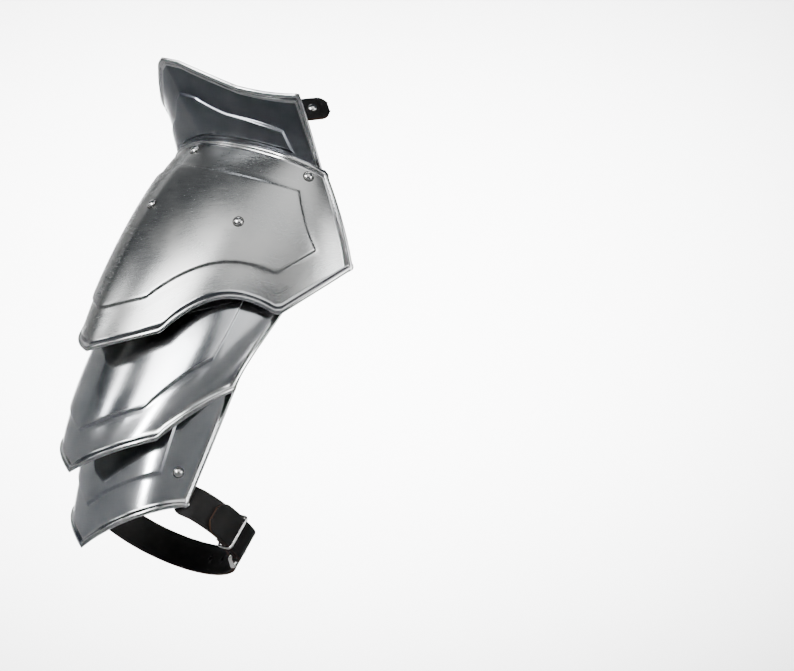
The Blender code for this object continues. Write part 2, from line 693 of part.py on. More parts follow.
def make_arm_strap(loop, collection, cutters, rivet_cutters):
    """Billet, buckle tab, buckle, prong and keeper."""
    heel = math.radians(BUCKLE_ANGLE)
    speed = loop.speed(heel)
    fold = BAR + GAP + STRAP / 2
    bar_lift = -(STRAP + GAP) / 2
    wide = loop.across * STRAP_WIDTH / 2

    def near(distance, lift):
        return loop.at(heel - distance / speed, lift)

    ends = [(loop.on_lame(s, t), side_at(loop, s, t)) for s, t in STRAP_ON_LAME]
    turned_ends = [(mirror_y(c), mirror_y(w)) for c, w in ends]

    start = loop.start - LOOP_LEAD
    ready = heel - BILLET_PASS[0][0] * BUCKLE_LENGTH / speed
    centres = [c for c, _ in turned_ends]
    sides = [w for _, w in turned_ends]
    for share in spread(LOOP_SECTIONS):
        centres.append(loop.at(-start + (ready + start) * share))
        sides.append(wide)
    for distance, lift in BILLET_PASS[1:]:
        centres.append(near(distance * BUCKLE_LENGTH, lift * fold))
        sides.append(wide)
    rest = BILLET_REST * fold
    for share in spread(FREE_SECTIONS)[1:]:
        begin = -BILLET_PASS[-1][0] * BUCKLE_LENGTH
        distance = begin + (FREE_END - begin) * share
        centres.append(near(-distance, rest))
        sides.append(wide)
    centres, sides = tip_rows(centres, sides, POINT_LENGTH)
    billet = make_ribbon("arm_strap", centres, sides, STRAP, collection, LEATHER_FINISH)

    centres = [c for c, _ in ends]
    sides = [w for _, w in ends]
    lead = TAB_LEAD * BUCKLE_LENGTH
    stop = heel + lead / speed
    for share in spread(TAB_SECTIONS):
        centres.append(loop.at(start + (stop - start) * share))
        sides.append(wide)
    bar = near(0.0, bar_lift)
    forward, _, outward = loop.frame(heel)
    for degrees in FOLD_DEGREES:
        angle = math.radians(degrees)
        centres.append(bar + fold * (forward * math.cos(angle) + outward * math.sin(angle)))
        sides.append(wide)
    for share in spread(RETURN_SECTIONS):
        distance = lead + (TAB_RETURN - lead) * share
        centres.append(near(-distance, -(STRAP + GAP)))
        sides.append(wide)
    tab = make_ribbon("buckle_tab", centres, sides, STRAP, collection, LEATHER_FINISH)

    front = near(BUCKLE_LENGTH, bar_lift)
    long_way = (front - bar) / np.linalg.norm(front - bar)
    half_long = np.linalg.norm(front - bar) / 2
    middle = (front + bar) / 2
    half_wide = STRAP_WIDTH / 2 + GAP + BAR + FRAME_SLACK
    tube("arm_buckle", rounded_frame(middle, long_way, loop.across, half_long, half_wide, FRAME_CORNER),
         BAR, True, collection, BRIGHT)
    eye = fold + STRAP / 2 + GAP + PRONG
    prong_rest = bar_lift + BAR + GAP + PRONG
    lean = math.radians(PRONG_LEAN)
    prong_from = bar + eye * (forward * math.cos(lean) + outward * math.sin(lean))
    prong_over = near(BUCKLE_LENGTH + PRONG_PAST * BAR, prong_rest)
    reach = prong_over - prong_from
    prong_places = [prong_from + reach * share for share in spread(PRONG_SECTIONS)]
    tube("buckle_prong", prong_places, PRONG, False, collection, BRIGHT)
    slot = tube("prong_slot", [prong_from, prong_over], PRONG + 2 * HOLE_GAP, False, cutters, None)
    hide_cutter(slot)
    cut(billet, slot)

    top = rest + STRAP / 2
    low = -(STRAP + GAP) - STRAP / 2
    centre = near(-KEEPER_BACK, (top + low) / 2)
    _, across, outward = loop.frame(heel + KEEPER_BACK / speed)
    half_high = (top - low) / 2 + KEEPER_SLACK + KEEPER_WIRE
    keeper_wide = STRAP_WIDTH / 2 + GAP + KEEPER_WIRE
    tube("arm_keeper", rounded_frame(centre, outward, across, half_high, keeper_wide, KEEPER_CORNER),
         KEEPER_WIRE, True, collection, BRIGHT)
    cut(tab, rivet_cutters["strap_rivet_front"])
    cut(billet, rivet_cutters["strap_rivet_rear"])


def neck_strap_path(main):
    """Centres and half widths of the suspension strap, and its end rivet's place and way."""
    depth = NECK_STRAP_DEPTH + STRAP / 2
    centres = []
    sides = []
    for share in NECK_STRAP_ROOT:
        centres.append(main.offset(0.0, share, -depth))
        sides.append(np.array([0.0, -NECK_STRAP_WIDTH / 2, 0.0]))
    begin = centres[-1]
    end = np.array([begin[0] + NECK_STRAP_REACH, -NECK_STRAP_FORWARD, begin[2] + NECK_STRAP_RISE])
    flat_share = 1.0 - NECK_STRAP_FLAT / NECK_STRAP_REACH

    def path(share):
        rise = 1.0 - (1.0 - share) ** NECK_STRAP_BOW
        forward = share ** 2
        return np.array([begin[0] + (end[0] - begin[0]) * share, end[1] * forward,
                         begin[2] + (end[2] - begin[2]) * rise])

    for share in spread(NECK_STRAP_SECTIONS, 0.0, flat_share)[1:]:
        heading = path(share + LINE_STEP) - path(share - LINE_STEP)
        heading /= np.linalg.norm(heading)
        level = np.cross(np.array([0.0, 0.0, 1.0]), heading)
        level /= -np.linalg.norm(level)
        upright = np.cross(heading, level)
        ease = share / flat_share
        twist = math.radians(NECK_STRAP_TWIST) * ease * ease * (3 - 2 * ease)
        wide = level * math.cos(twist) - upright * math.sin(twist) * np.sign(upright[2])
        centres.append(path(share))
        sides.append(wide * NECK_STRAP_WIDTH / 2)
    heading = path(flat_share + LINE_STEP) - path(flat_share - LINE_STEP)
    heading /= np.linalg.norm(heading)
    heading -= sides[-1] * np.dot(heading, sides[-1]) / np.dot(sides[-1], sides[-1])
    heading /= np.linalg.norm(heading)
    face = -cross_unit(heading, sides[-1])
    flat_start = centres[-1]
    for distance in (LAND_FROM, LAND_FROM + LAND_LENGTH):
        centres.append(flat_start + heading * distance)
        sides.append(sides[-1])
    nod = math.radians(END_NOD)
    lowered = heading * math.cos(nod) - face * math.sin(nod)
    bend = centres[-1]
    past = NECK_STRAP_FLAT - LAND_FROM - LAND_LENGTH
    centres.append(bend + lowered * (past - POINT_LENGTH))
    sides.append(sides[-1])
    centres, sides = tip_rows(centres, sides, POINT_LENGTH)
    rivet = bend + lowered * (past - END_RIVET_BACK)
    return centres, sides, rivet, face * math.cos(nod) + heading * math.sin(nod)


STEEL = ((0.62, 0.63, 0.64), 1.0, 0.32)
BRIGHT = ((0.80, 0.80, 0.78), 1.0, 0.22)
LEATHER_FINISH = ((0.012, 0.011, 0.010), 0.0, 0.45)


def main():
    for obj in list(bpy.data.objects):
        bpy.data.objects.remove(obj)
    collection = bpy.data.collections.new("pauldron")
    cutters = bpy.data.collections.new("cutters")
    bpy.context.scene.collection.children.link(collection)
    bpy.context.scene.collection.children.link(cutters)

    made = plates()
    solids = {name: make_plate(name, plate, collection) for name, plate in made.items()}
    leathers = {
        "ridge": make_leather("centre_leather", CENTRE_LEATHER, 1, made, collection),
        "front": make_leather("front_leather", SIDE_LEATHER, 1, made, collection),
        "rear": make_leather("rear_leather", SIDE_LEATHER, -1, made, collection),
    }
    centres, sides, end_rivet, face = neck_strap_path(made["main_plate"])
    neck_strap = make_ribbon("suspension_strap", centres, sides, STRAP, collection, LEATHER_FINISH)

    strap_cutters = {}
    for name, plate_name, s, t, raised, under in RIVETS:
        plate = made[plate_name]
        point = plate.offset(s, t, EMBOSS * raised)
        grip = WALL + PEEN_GAP
        if under.startswith("neck guard"):
            grip = WALL + NECK_GAP + WALL + PEEN_GAP
        if under.endswith("and strap"):
            grip = NECK_STRAP_DEPTH + STRAP + PEEN_GAP
        if under == "leather":
            grip = WALL + GAP + LEATHER_SLACK + LEATHER + PEEN_GAP
        if under == "strap":
            grip = WALL + GAP + STRAP_SLACK + STRAP + PEEN_GAP
        place = stand(point, plate.normal(s, t))
        rivet = turned(name, rivet_profile(grip), RIVET_SIDES, collection, BRIGHT)
        rivet.matrix_world = place
        cutter = hole_cutter(name + "_hole", place, RIVET_SHANK + HOLE_GAP, HOLE_DEPTH, cutters)
        cut(solids[plate_name], cutter)
        if under.startswith("neck guard"):
            cut(solids["neck_guard"], cutter)
        if under.endswith("and strap"):
            cut(neck_strap, cutter)
        if under == "leather":
            cut(leathers[name.rsplit("_", 1)[1]], cutter)
        if under == "strap":
            strap_cutters[name] = cutter
    make_arm_strap(Loop(made["lower_lame"]), collection, cutters, strap_cutters)

    place = stand(end_rivet + face * STRAP / 2, face)
    rivet = turned("suspension_rivet", rivet_profile(STRAP + GAP), RIVET_SIDES, collection, BRIGHT)
    rivet.matrix_world = place
    cut(neck_strap, hole_cutter("suspension_rivet_hole", place, RIVET_SHANK + HOLE_GAP, HOLE_DEPTH, cutters))


main()
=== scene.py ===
# %% [markdown]
# # A steel pauldron
#
# A pauldron is the armour of the shoulder. This one is for a right shoulder: a big ridged
# plate, a guard that stands up beside the neck, and two smaller plates, called lames, that
# hang below it on leathers. A strap goes round the upper arm.
#
# The frame holds the real parts at their real size. This script dresses them: it builds fine
# versions of the plates, rivets and straps in the same places, gives each a finish, and
# sets up a small studio.

import math

import bmesh
import bpy
import numpy as np
from mathutils import Matrix, Vector, noise


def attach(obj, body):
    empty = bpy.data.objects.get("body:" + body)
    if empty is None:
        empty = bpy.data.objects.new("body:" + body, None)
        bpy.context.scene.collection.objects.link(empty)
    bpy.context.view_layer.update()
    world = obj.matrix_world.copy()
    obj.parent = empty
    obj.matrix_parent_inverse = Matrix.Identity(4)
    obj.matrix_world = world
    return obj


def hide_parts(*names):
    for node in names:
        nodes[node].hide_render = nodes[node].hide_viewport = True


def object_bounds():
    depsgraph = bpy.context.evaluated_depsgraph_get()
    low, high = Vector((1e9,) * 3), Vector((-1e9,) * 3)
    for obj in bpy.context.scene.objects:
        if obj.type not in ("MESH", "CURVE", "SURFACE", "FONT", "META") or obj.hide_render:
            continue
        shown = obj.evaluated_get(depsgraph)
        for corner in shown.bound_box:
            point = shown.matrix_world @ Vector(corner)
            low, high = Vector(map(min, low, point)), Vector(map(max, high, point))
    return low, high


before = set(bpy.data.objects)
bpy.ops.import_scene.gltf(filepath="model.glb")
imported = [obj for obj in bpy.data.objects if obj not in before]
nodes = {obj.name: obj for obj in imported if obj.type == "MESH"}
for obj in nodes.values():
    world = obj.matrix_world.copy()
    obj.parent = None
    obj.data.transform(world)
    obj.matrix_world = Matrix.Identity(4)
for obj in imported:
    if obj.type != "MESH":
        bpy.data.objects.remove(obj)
cad_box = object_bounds()
print(f"{len(nodes)} nodes in the frame, lowest {cad_box[0].z:.3f} m, highest {cad_box[1].z:.3f} m")

# %% [markdown]
# ## Sizes of the sheet
#
# An armourer starts from the sheet: its thickness, the height of the raised panel, and the
# bead that is rolled round each free edge to stiffen it. Everything else follows from the
# reach, drop and half width of each plate. These are the frame's own sizes, in metres.

# %% Sizes of the sheet, the edges and the gaps
WALL = 0.0012
EMBOSS = 0.0015
STEP_WIDTH = 0.0025
LIP_HEIGHT = 0.0016
LIP_WIDTH = 0.0042
GAP = 0.0003
PEEN_GAP = 0.0008
NECK_GAP = 0.0016
RIDGE_SOFTNESS = 0.015
FLANGE_FADE = 0.125
SURFACE_STEP = 1e-4
LINE_STEP = 0.01
SEAT_SHARE = 0.20
FLANGE_SHARE = 0.155
FLANGE_TUCK = 0.06
TUCK_RUN = 1 / 3

# %% Sizes of the four plates: reach, drop, half width, wrap
MAIN_SIZE = (0.110, 0.166, 0.112, 0.060)
NECK_SIZE = (0.041, -0.0616, 0.090, 0.052)
UPPER_SIZE = (0.065, 0.146, 0.104, 0.084)
LOWER_SIZE = (0.029, 0.114, 0.072, 0.0665)
UPPER_FROM, UPPER_INSET = 0.66, 0.025
LOWER_FROM, LOWER_INSET = 0.59, 0.019

# %% [markdown]
# ## Sections and drawn lines
#
# Each plate is described as a pattern is: a few cross sections from its top to its bottom,
# and the lines drawn on it, which are its edges and the border of its raised panel.
# Both are given as shares of the plate's sizes, so one short table shapes a whole plate.

# %% Sections: ridge out, ridge down, edge in, edge half, edge down, bend at ridge, bend at edge
MAIN_SECTIONS = [
    (0.000, 0.000, 0.817, 0.786, 0.163, 10, 86),
    (0.400, 0.271, 0.900, 0.902, 0.373, 10, 86),
    (0.773, 0.651, 0.973, 0.970, 0.590, 10, 86),
    (1.000, 1.000, 1.000, 1.000, 0.807, 10, 86),
]
NECK_SECTIONS = [
    (0.000, 0.000, 0.942, 0.961, -0.438, 10, 86),
    (0.561, 0.552, 0.730, 0.960, 0.060, 22, 70),
    (1.000, 1.000, 0.462, 1.000, 0.520, 30, 62),
]
UPPER_SECTIONS = [
    (0.000, 0.000, 1.144, 0.820, -0.150, 8, 84),
    (0.400, 0.342, 0.880, 0.875, 0.110, 8, 84),
    (0.754, 0.685, 0.526, 0.846, 0.370, 8, 84),
    (1.000, 1.000, 0.333, 0.750, 0.616, 8, 84),
]
LOWER_SECTIONS = [
    (0.000, 0.000, 1.000, 1.000, -0.140, 8, 84),
    (0.586, 0.500, 0.639, 0.944, 0.333, 8, 84),
    (1.000, 1.000, 0.286, 0.847, 0.825, 8, 84),
]

# %% Lines: share from ridge to edge, share down the plate, rise of the arch to the next row
MAIN_LINES = {
    "top": [(0, 0.0, 0), (1, 0.0, 0)],
    "panel_top": [(0, 0.175, 0), (0.76, 0.215, 0)],
    "panel_bottom": [(0, 0.79, 0), (0.215, 0.755, -0.10), (0.70, 0.69, 0), (0.85, 0.57, 0)],
    "bottom": [(0, 0.975, 0), (0.32, 0.915, -0.13), (0.725, 0.918, 0), (1, 0.69, 0)],
    "side": (0.76, 0.85),
}
NECK_LINES = {
    "top": [(0, 1.04, 0), (0.12, 1.03, -0.02), (0.50, 0.83, -0.045), (1, 1.02, 0)],
    "panel_top": [(0, 0.57, 0), (0.11, 0.54, -0.02), (0.31, 0.39, 0), (0.73, 0.37, 0)],
    "panel_bottom": [(0, 0.07, 0), (0.73, 0.07, 0)],
    "waist": [(0, 0.0, 0), (1, 0.0, 0)],
    "bottom": [(0, -1.0, 0), (1, -1.0, 0)],
    "side": (0.73, 0.73),
}
UPPER_LINES = {
    "top": [(0, 0.0, 0), (1, 0.0, 0)],
    "panel_top": [(0, 0.22, 0), (0.70, 0.22, 0)],
    "panel_bottom": [(0, 0.775, -0.02), (0.41, 0.735, -0.03), (0.705, 0.58, 0)],
    "bottom": [(0, 1.0, -0.05), (0.57, 0.99, -0.045), (1, 0.955, 0)],
    "side": (0.705, 0.705),
}
LOWER_LINES = {
    "top": [(0, 0.0, 0), (1, 0.0, 0)],
    "panel_top": [(0, 0.22, 0), (0.61, 0.22, 0)],
    "panel_bottom": [(0, 0.73, -0.05), (0.615, 0.59, 0)],
    "bottom": [(0, 1.0, -0.10), (1, 0.905, 0)],
    "side": (0.61, 0.615),
}

# %% [markdown]
# ## A plate as a bent surface
#
# Sheet metal bends in smooth arcs, so a plate is a rule more than a shape: s runs from the
# ridge (0) to an edge (1), t runs down the plate, and the rule gives the place. With a rule,
# a flat grid can be laid on the plate at any fineness, and a rivet or a strap can ask for
# the same place that the plate itself has.

# %% Smooth tables and drawn lines
def spread(count, start=0.0, end=1.0):
    return [start + (end - start) * k / (count - 1) for k in range(count)]


def turns(count, start, end):
    return [math.radians(degrees) for degrees in spread(count, start, end)]


def through(rows, t):
    """The smooth curve through evenly spaced rows of a table, read at share t."""
    rows = np.asarray(rows, float)
    t = np.asarray(t, float)
    knots = np.linspace(0.0, 1.0, len(rows))
    total = np.zeros(t.shape + (rows.shape[1],))
    for i, row in enumerate(rows):
        weight = np.ones_like(t)
        for j, knot in enumerate(knots):
            if j != i:
                weight = weight * (t - knot) / (knots[i] - knot)
        total += weight[..., None] * row
    return total


def line_height(rows, s):
    """Height of a drawn line at s: straight or arched from each row to the next."""
    s = np.abs(np.asarray(s, float))
    height = np.full(s.shape, float(rows[-1][1]))
    for (s0, t0, rise), (s1, t1, _) in zip(rows[:-1], rows[1:]):
        x = (s - s0) / (s1 - s0)
        here = (x >= 0.0) & (x <= 1.0)
        height = np.where(here, t0 + (t1 - t0) * x + 4.0 * rise * x * (1.0 - x), height)
    return height


def unit(v):
    return v / np.linalg.norm(v, axis=-1, keepdims=True)


# %% The rule of a plate
class Plate:
    def __init__(self, top, size, sections, lines):
        self.top = np.array(top, float)
        self.reach, self.drop, self.half, self.wrap = size
        self.sections = sections
        self.lines = lines

    def sectioned(self, s, t):
        s, t = np.broadcast_arrays(np.asarray(s, float), np.asarray(t, float))
        row = through(self.sections, t)
        a0 = np.radians(row[..., 5])
        a1 = np.radians(row[..., 6])
        bend = a0 + np.abs(s) * (a1 - a0)
        side = (np.sin(bend) - np.sin(a0)) / (np.sin(a1) - np.sin(a0))
        eased = np.sqrt(side * side + RIDGE_SOFTNESS ** 2) - RIDGE_SOFTNESS
        eased = eased / (math.sqrt(1.0 + RIDGE_SOFTNESS ** 2) - RIDGE_SOFTNESS)
        sine = np.sin(a0) + eased * (np.sin(a1) - np.sin(a0))
        out = (np.sqrt(np.maximum(0.0, 1.0 - sine * sine)) - np.cos(a1)) / (np.cos(a0) - np.cos(a1))
        edge_x = self.wrap * row[..., 2]
        edge_z = -self.drop * row[..., 4]
        x = edge_x + (-self.reach * row[..., 0] - edge_x) * out
        z = edge_z + (-self.drop * row[..., 1] - edge_z) * out
        y = -np.sign(s) * self.half * row[..., 3] * side
        return np.stack([x, y, z], -1)

    def at(self, s, t):
        return self.top + self.sectioned(s, t)

    def along(self, s, t):
        e = SURFACE_STEP
        by_s = (self.at(np.asarray(s) + e, t) - self.at(np.asarray(s) - e, t)) / (2 * e)
        by_t = (self.at(s, np.asarray(t) + e) - self.at(s, np.asarray(t) - e)) / (2 * e)
        return by_s, by_t

    def normal(self, s, t):
        by_s, by_t = self.along(s, t)
        return unit(np.cross(by_t, by_s)) * np.sign(self.drop)

    def offset(self, s, t, distance):
        return self.at(s, t) + self.normal(s, t) * np.asarray(distance)[..., None]


# %% The guard's flange follows the main plate
class NeckGuard(Plate):
    def __init__(self, main, *sizes):
        super().__init__(*sizes)
        self.main = main

    def at(self, s, t):
        s, t = np.broadcast_arrays(np.asarray(s, float), np.asarray(t, float))
        below = np.clip(-t, 0.0, 1.0)
        tucked = s * (1.0 - FLANGE_TUCK * np.clip(below / TUCK_RUN, 0.0, 1.0))
        base = self.main.offset(tucked, FLANGE_SHARE * below, np.full(s.shape, -(WALL + NECK_GAP)))
        flare = self.sectioned(s, np.maximum(t, 0.0)) - self.sectioned(s, np.zeros_like(t))
        return base + flare


# %% Place the four plates, with the shoulder seat at the origin
main = Plate((0, 0, 0), MAIN_SIZE, MAIN_SECTIONS, MAIN_LINES)
main.top = -main.offset(0.0, SEAT_SHARE, EMBOSS - WALL)
neck = NeckGuard(main, main.top, NECK_SIZE, NECK_SECTIONS, NECK_LINES)
upper_top = main.at(0.0, UPPER_FROM) + np.array([UPPER_INSET, 0, 0])
upper = Plate(upper_top, UPPER_SIZE, UPPER_SECTIONS, UPPER_LINES)
lower_top = upper.at(0.0, LOWER_FROM) + np.array([LOWER_INSET, 0, 0])
lower = Plate(lower_top, LOWER_SIZE, LOWER_SECTIONS, LOWER_LINES)
plates = {"main_plate": main, "neck_guard": neck, "upper_lame": upper, "lower_lame": lower}
print("top of the ridge at", main.at(0.0, 0.0).round(4))

# %% [markdown]
# ## The grid of a plate
#
# A raised panel and a rolled edge only look crisp when the mesh has edges that run along
# them. So the grid's rows follow the drawn lines, not equal steps: thirteen rows go round a
# bead, nine go up the step of the panel, and the rest spread over the calm steel between.

# %% Columns from ridge to edge
COLUMN_SPACING = 0.035
SIDE_SPACING = 0.035
BEAD_TURN = (0.0, 180.0)
BEAD_STEPS = 13
STEP_STEPS = 9
CLEAR_OF_BREAK = 0.6
LATE_LEAN = 4

bead = [((1.0 - math.cos(a)) / 2.0, math.sin(a)) for a in turns(BEAD_STEPS, *BEAD_TURN)]
step = [(k, (1.0 - math.cos(math.pi * k)) / 2.0) for k in spread(STEP_STEPS)]


def columns(plate, inner, border):
    """Columns: share at the panel's top, at its bottom, inset, raised, bead height."""
    side_top, side_bottom = plate.lines["side"]
    breaks = sorted({row[0] for name in ("panel_bottom", "bottom", "panel_top", "top")
                     for row in plate.lines[name]
                     if 0.0 < row[0] < min(side_top, side_bottom) - COLUMN_SPACING})
    even = spread(inner, 0.0, side_top - SIDE_SPACING)
    clear = CLEAR_OF_BREAK * even[1]
    shares = sorted([s for s in even if all(abs(s - b) > clear for b in breaks)] + breaks)
    rows = [(s, s + (side_bottom - side_top) * (s / side_top) ** LATE_LEAN, 0.0, 1.0, 0.0) for s in shares]
    rows += [(side_top, side_bottom, STEP_WIDTH * (1.0 - k), 1.0 - h, 0.0) for k, h in step]
    for k in range(1, border):
        share = k / border
        rows.append((side_top + (1 - side_top) * share, side_bottom + (1 - side_bottom) * share,
                     LIP_WIDTH * share, 0.0, 0.0))
    rows += [(1.0, 1.0, LIP_WIDTH * share, 0.0, height) for share, height in reversed(bead)]
    return rows


# %% Rows down the plate
def levels(panel, border, top_bead, bottom_bead, flange):
    """Rows: line before, line after, share between, inset, raised, bead height."""
    rows = []
    if top_bead:
        rows += [("top", "top", 0.0, LIP_WIDTH * share, 0.0, height) for share, height in bead]
    else:
        rows.append(("top", "top", 0.0, 0.0, 0.0, 0.0))
    rows += [("top", "panel_top", k / border, LIP_WIDTH * (1 - k / border) * top_bead, 0.0, 0.0)
             for k in range(1, border)]
    rows += [("panel_top", "panel_top", 0.0, STEP_WIDTH * k, h, 0.0) for k, h in step]
    rows += [("panel_top", "panel_bottom", k / panel,
              STEP_WIDTH * (1 - 2 * k / panel), 1.0, 0.0) for k in range(1, panel)]
    rows += [("panel_bottom", "panel_bottom", 0.0, -STEP_WIDTH * (1.0 - k), 1.0 - h, 0.0) for k, h in step]
    if flange:
        rows += [("waist", "bottom", share, 0.0, 0.0, 0.0) for share in spread(flange)[:-1]]
    else:
        rows += [("panel_bottom", "bottom", k / border, -LIP_WIDTH * k / border * bottom_bead, 0.0, 0.0)
                 for k in range(1, border)]
    if bottom_bead:
        rows += [("bottom", "bottom", 0.0, -LIP_WIDTH * share, 0.0, height)
                 for share, height in reversed(bead)]
    else:
        rows.append(("bottom", "bottom", 0.0, 0.0, 0.0, 0.0))
    return rows


# %% Places of the outer face, both halves
def plate_points(plate, cols, rows):
    """Places of the outer face, from rear edge over the ridge to front edge."""
    way = np.sign(plate.drop)
    s_top, s_bottom, col_inset, col_raised, col_bead = np.array(cols, float).T
    grid = []
    for before, after, share, inset, raised, bead_height in rows:
        part = {"top": 0.0, "panel_top": 0.0}.get(before, 1.0)
        if before == "panel_top" and after == "panel_bottom":
            part = share
        s = s_top + (s_bottom - s_top) * part

        def height(at_s):
            a = line_height(plate.lines[before], at_s)
            b = line_height(plate.lines[after], at_s)
            return a + (b - a) * share

        by_s, by_t = plate.along(s, height(s))
        s = s - col_inset / np.linalg.norm(by_s, axis=-1)
        t = height(s)
        if inset:
            low = np.maximum(0.0, s - LINE_STEP)
            high = np.minimum(1.0, s + LINE_STEP)
            run = plate.at(high, height(high)) - plate.at(low, height(low))
            square = np.linalg.norm(np.cross(by_t, run), axis=-1) / np.linalg.norm(run, axis=-1)
            t = t + way * inset / square
        rise = EMBOSS * np.minimum(raised, col_raised) + LIP_HEIGHT * np.maximum(bead_height, col_bead)
        rise = rise * np.clip(1.0 + t / FLANGE_FADE, 0.0, 1.0)
        line = plate.offset(s, t, rise)
        line[0, 1] = 0.0
        grid.append(np.concatenate([line[:0:-1] * (1.0, -1.0, 1.0), line]))
    return np.array(grid)

# %% [markdown]
# ## Steel
#
# The plates are sanded with a fine belt and then buffed, so they are neither a mirror nor
# matt. Three things make that look: a roughness that wanders a little, faint scratches that
# all run one way, and a bump so small that it only bends the reflections. The scratches are
# a noise stretched along the plate's own UV map, which is in metres along and across it.
# The main plate is satin and the lames are buffed. The guard's steel is painted darker, as painted shade
# for the dim room that it reflects, and the rolled edges get a lighter steel as a painted highlight. A
# dull, dark ring round each rivet is painted shadow where the head meets the plate.

# %% Small helpers for node trees
def new_material(name):
    made = bpy.data.materials.new(name)
    made.use_nodes = True
    tree = made.node_tree
    return made, tree, tree.nodes["Principled BSDF"]


def add_noise(tree, source, scale, detail=3.0, stretch=(1, 1, 1), roughness=0.5):
    mapping = tree.nodes.new("ShaderNodeMapping")
    mapping.inputs["Scale"].default_value = stretch
    made = tree.nodes.new("ShaderNodeTexNoise")
    made.inputs["Scale"].default_value = scale
    made.inputs["Detail"].default_value = detail
    made.inputs["Roughness"].default_value = roughness
    tree.links.new(source, mapping.inputs["Vector"])
    tree.links.new(mapping.outputs["Vector"], made.inputs["Vector"])
    return made.outputs["Fac"]


def add_range(tree, source, low, high, to_low, to_high):
    made = tree.nodes.new("ShaderNodeMapRange")
    for name, value in (("From Min", low), ("From Max", high), ("To Min", to_low), ("To Max", to_high)):
        made.inputs[name].default_value = value
    tree.links.new(source, made.inputs["Value"])
    return made.outputs["Result"]


def add_math(tree, operation, a, b):
    made = tree.nodes.new("ShaderNodeMath")
    made.operation = operation
    for socket, value in zip(made.inputs, (a, b)):
        if isinstance(value, (int, float)):
            socket.default_value = value
        else:
            tree.links.new(value, socket)
    return made.outputs["Value"]


def add_mix(tree, share, dark, light):
    made = tree.nodes.new("ShaderNodeMix")
    made.data_type = "RGBA"
    made.inputs["A"].default_value = (*dark, 1.0)
    made.inputs["B"].default_value = (*light, 1.0)
    tree.links.new(share, made.inputs["Factor"])
    return made.outputs["Result"]


def add_bump(tree, height, depth, normal=None):
    made = tree.nodes.new("ShaderNodeBump")
    made.inputs["Distance"].default_value = depth
    made.inputs["Strength"].default_value = 1.0
    tree.links.new(height, made.inputs["Height"])
    if normal is not None:
        tree.links.new(normal, made.inputs["Normal"])
    return made.outputs["Normal"]


# %% The steel of the plates
CLOUD_SCALE = 26.0
WAVE_SCALE = 38.0
CLOUD_RANGE = (0.3, 0.7)
STREAK_RANGE = (0.35, 0.65)
HAIR_SHARE = 0.5
# Scale, detail, stretch along the plate, roughness of the noise
GRAIN = (60.0, 3.0, (1.0, 22.0, 1.0), 0.6)
HAIR = (190.0, 2.0, (1.0, 30.0, 1.0), 0.7)
# How far each makes the steel smoother and rougher
GRAIN_DULLS = (-0.012, 0.015)
HAIR_DULLS = (-0.015, 0.02)


def steel_material(name, dark, light, smooth, rough, scratch_depth, wave_depth):
    made, tree, shader = new_material(name)
    places = tree.nodes.new("ShaderNodeTexCoord")
    sheet = places.outputs["UV"]
    room = places.outputs["Object"]
    shader.inputs["Metallic"].default_value = 1.0
    cloud = add_noise(tree, room, CLOUD_SCALE, 4.0)
    grain = add_noise(tree, sheet, *GRAIN)
    hair = add_noise(tree, sheet, *HAIR)
    colour = add_mix(tree, add_range(tree, cloud, *CLOUD_RANGE, 0.0, 1.0), dark, light)
    tree.links.new(colour, shader.inputs["Base Color"])
    dull = add_range(tree, cloud, *CLOUD_RANGE, smooth, rough)
    dull = add_math(tree, "ADD", dull, add_range(tree, hair, *STREAK_RANGE, *HAIR_DULLS))
    dull = add_math(tree, "ADD", dull, add_range(tree, grain, *STREAK_RANGE, *GRAIN_DULLS))
    tree.links.new(dull, shader.inputs["Roughness"])
    waves = add_bump(tree, add_noise(tree, room, WAVE_SCALE, 2.0), wave_depth)
    lines = add_math(tree, "ADD", grain, add_math(tree, "MULTIPLY", hair, HAIR_SHARE))
    tree.links.new(add_bump(tree, lines, scratch_depth, waves), shader.inputs["Normal"])
    return made


# Name, dark and light colour, smoothest, roughest, depth of the scratches and of the waves
STEELS = [
    ("satin_steel", (0.45, 0.46, 0.46), (0.53, 0.53, 0.52), 0.25, 0.31, 0.0000005, 0.00006),
    ("buffed_steel", (0.52, 0.54, 0.57), (0.66, 0.67, 0.68), 0.12, 0.19, 0.000003, 0.0001),
    # A darker copy of the steel for the guard: painted shade for the dim room that the guard reflects.
    ("shaded_guard_steel", (0.18, 0.195, 0.22), (0.28, 0.29, 0.31), 0.16, 0.26, 0.000004, 0.0001),
    ("inner_steel", (0.10, 0.10, 0.098), (0.16, 0.158, 0.155), 0.42, 0.58, 0.00005, 0.0003),
    ("bright_steel", (0.74, 0.73, 0.71), (0.82, 0.81, 0.79), 0.14, 0.24, 0.00001, 0.0001),
    # A lighter copy of the steel for the rolled edges: painted highlight along each bead.
    ("bead_highlight_steel", (0.62, 0.63, 0.64), (0.70, 0.70, 0.69), 0.14, 0.22, 0.00002, 0.0001),
    # Near-black steel for the ring round each rivet head: painted shadow where the head meets the plate.
    ("rivet_shadow_ring", (0.03, 0.03, 0.03), (0.06, 0.055, 0.05), 0.5, 0.7, 0.00001, 0.0001),
]
(satin_steel, buffed_steel, shaded_guard_steel, inner_steel,
 bright_steel, bead_highlight_steel, rivet_shadow_ring) = [steel_material(*row) for row in STEELS]
print("steel finishes made")

# %% [markdown]
# ## Leather
#
# The straps are black dyed leather. The dye leaves the cut edges a little brown, so the straps
# get two materials: a black one with a fine pebbled grain, and a dark brown one for the edges.

# %% Black leather and its cut edge
PEBBLE_SCALE = 900.0
PEBBLE_RANGE = (0.0, 0.25)
WORN_RANGE = (0.45, 0.75)
WORN_SCALE = 70.0
CREASE_SCALE = 260.0
CREASE_SHARE = 1.5
LEATHER_SHINE = 0.28


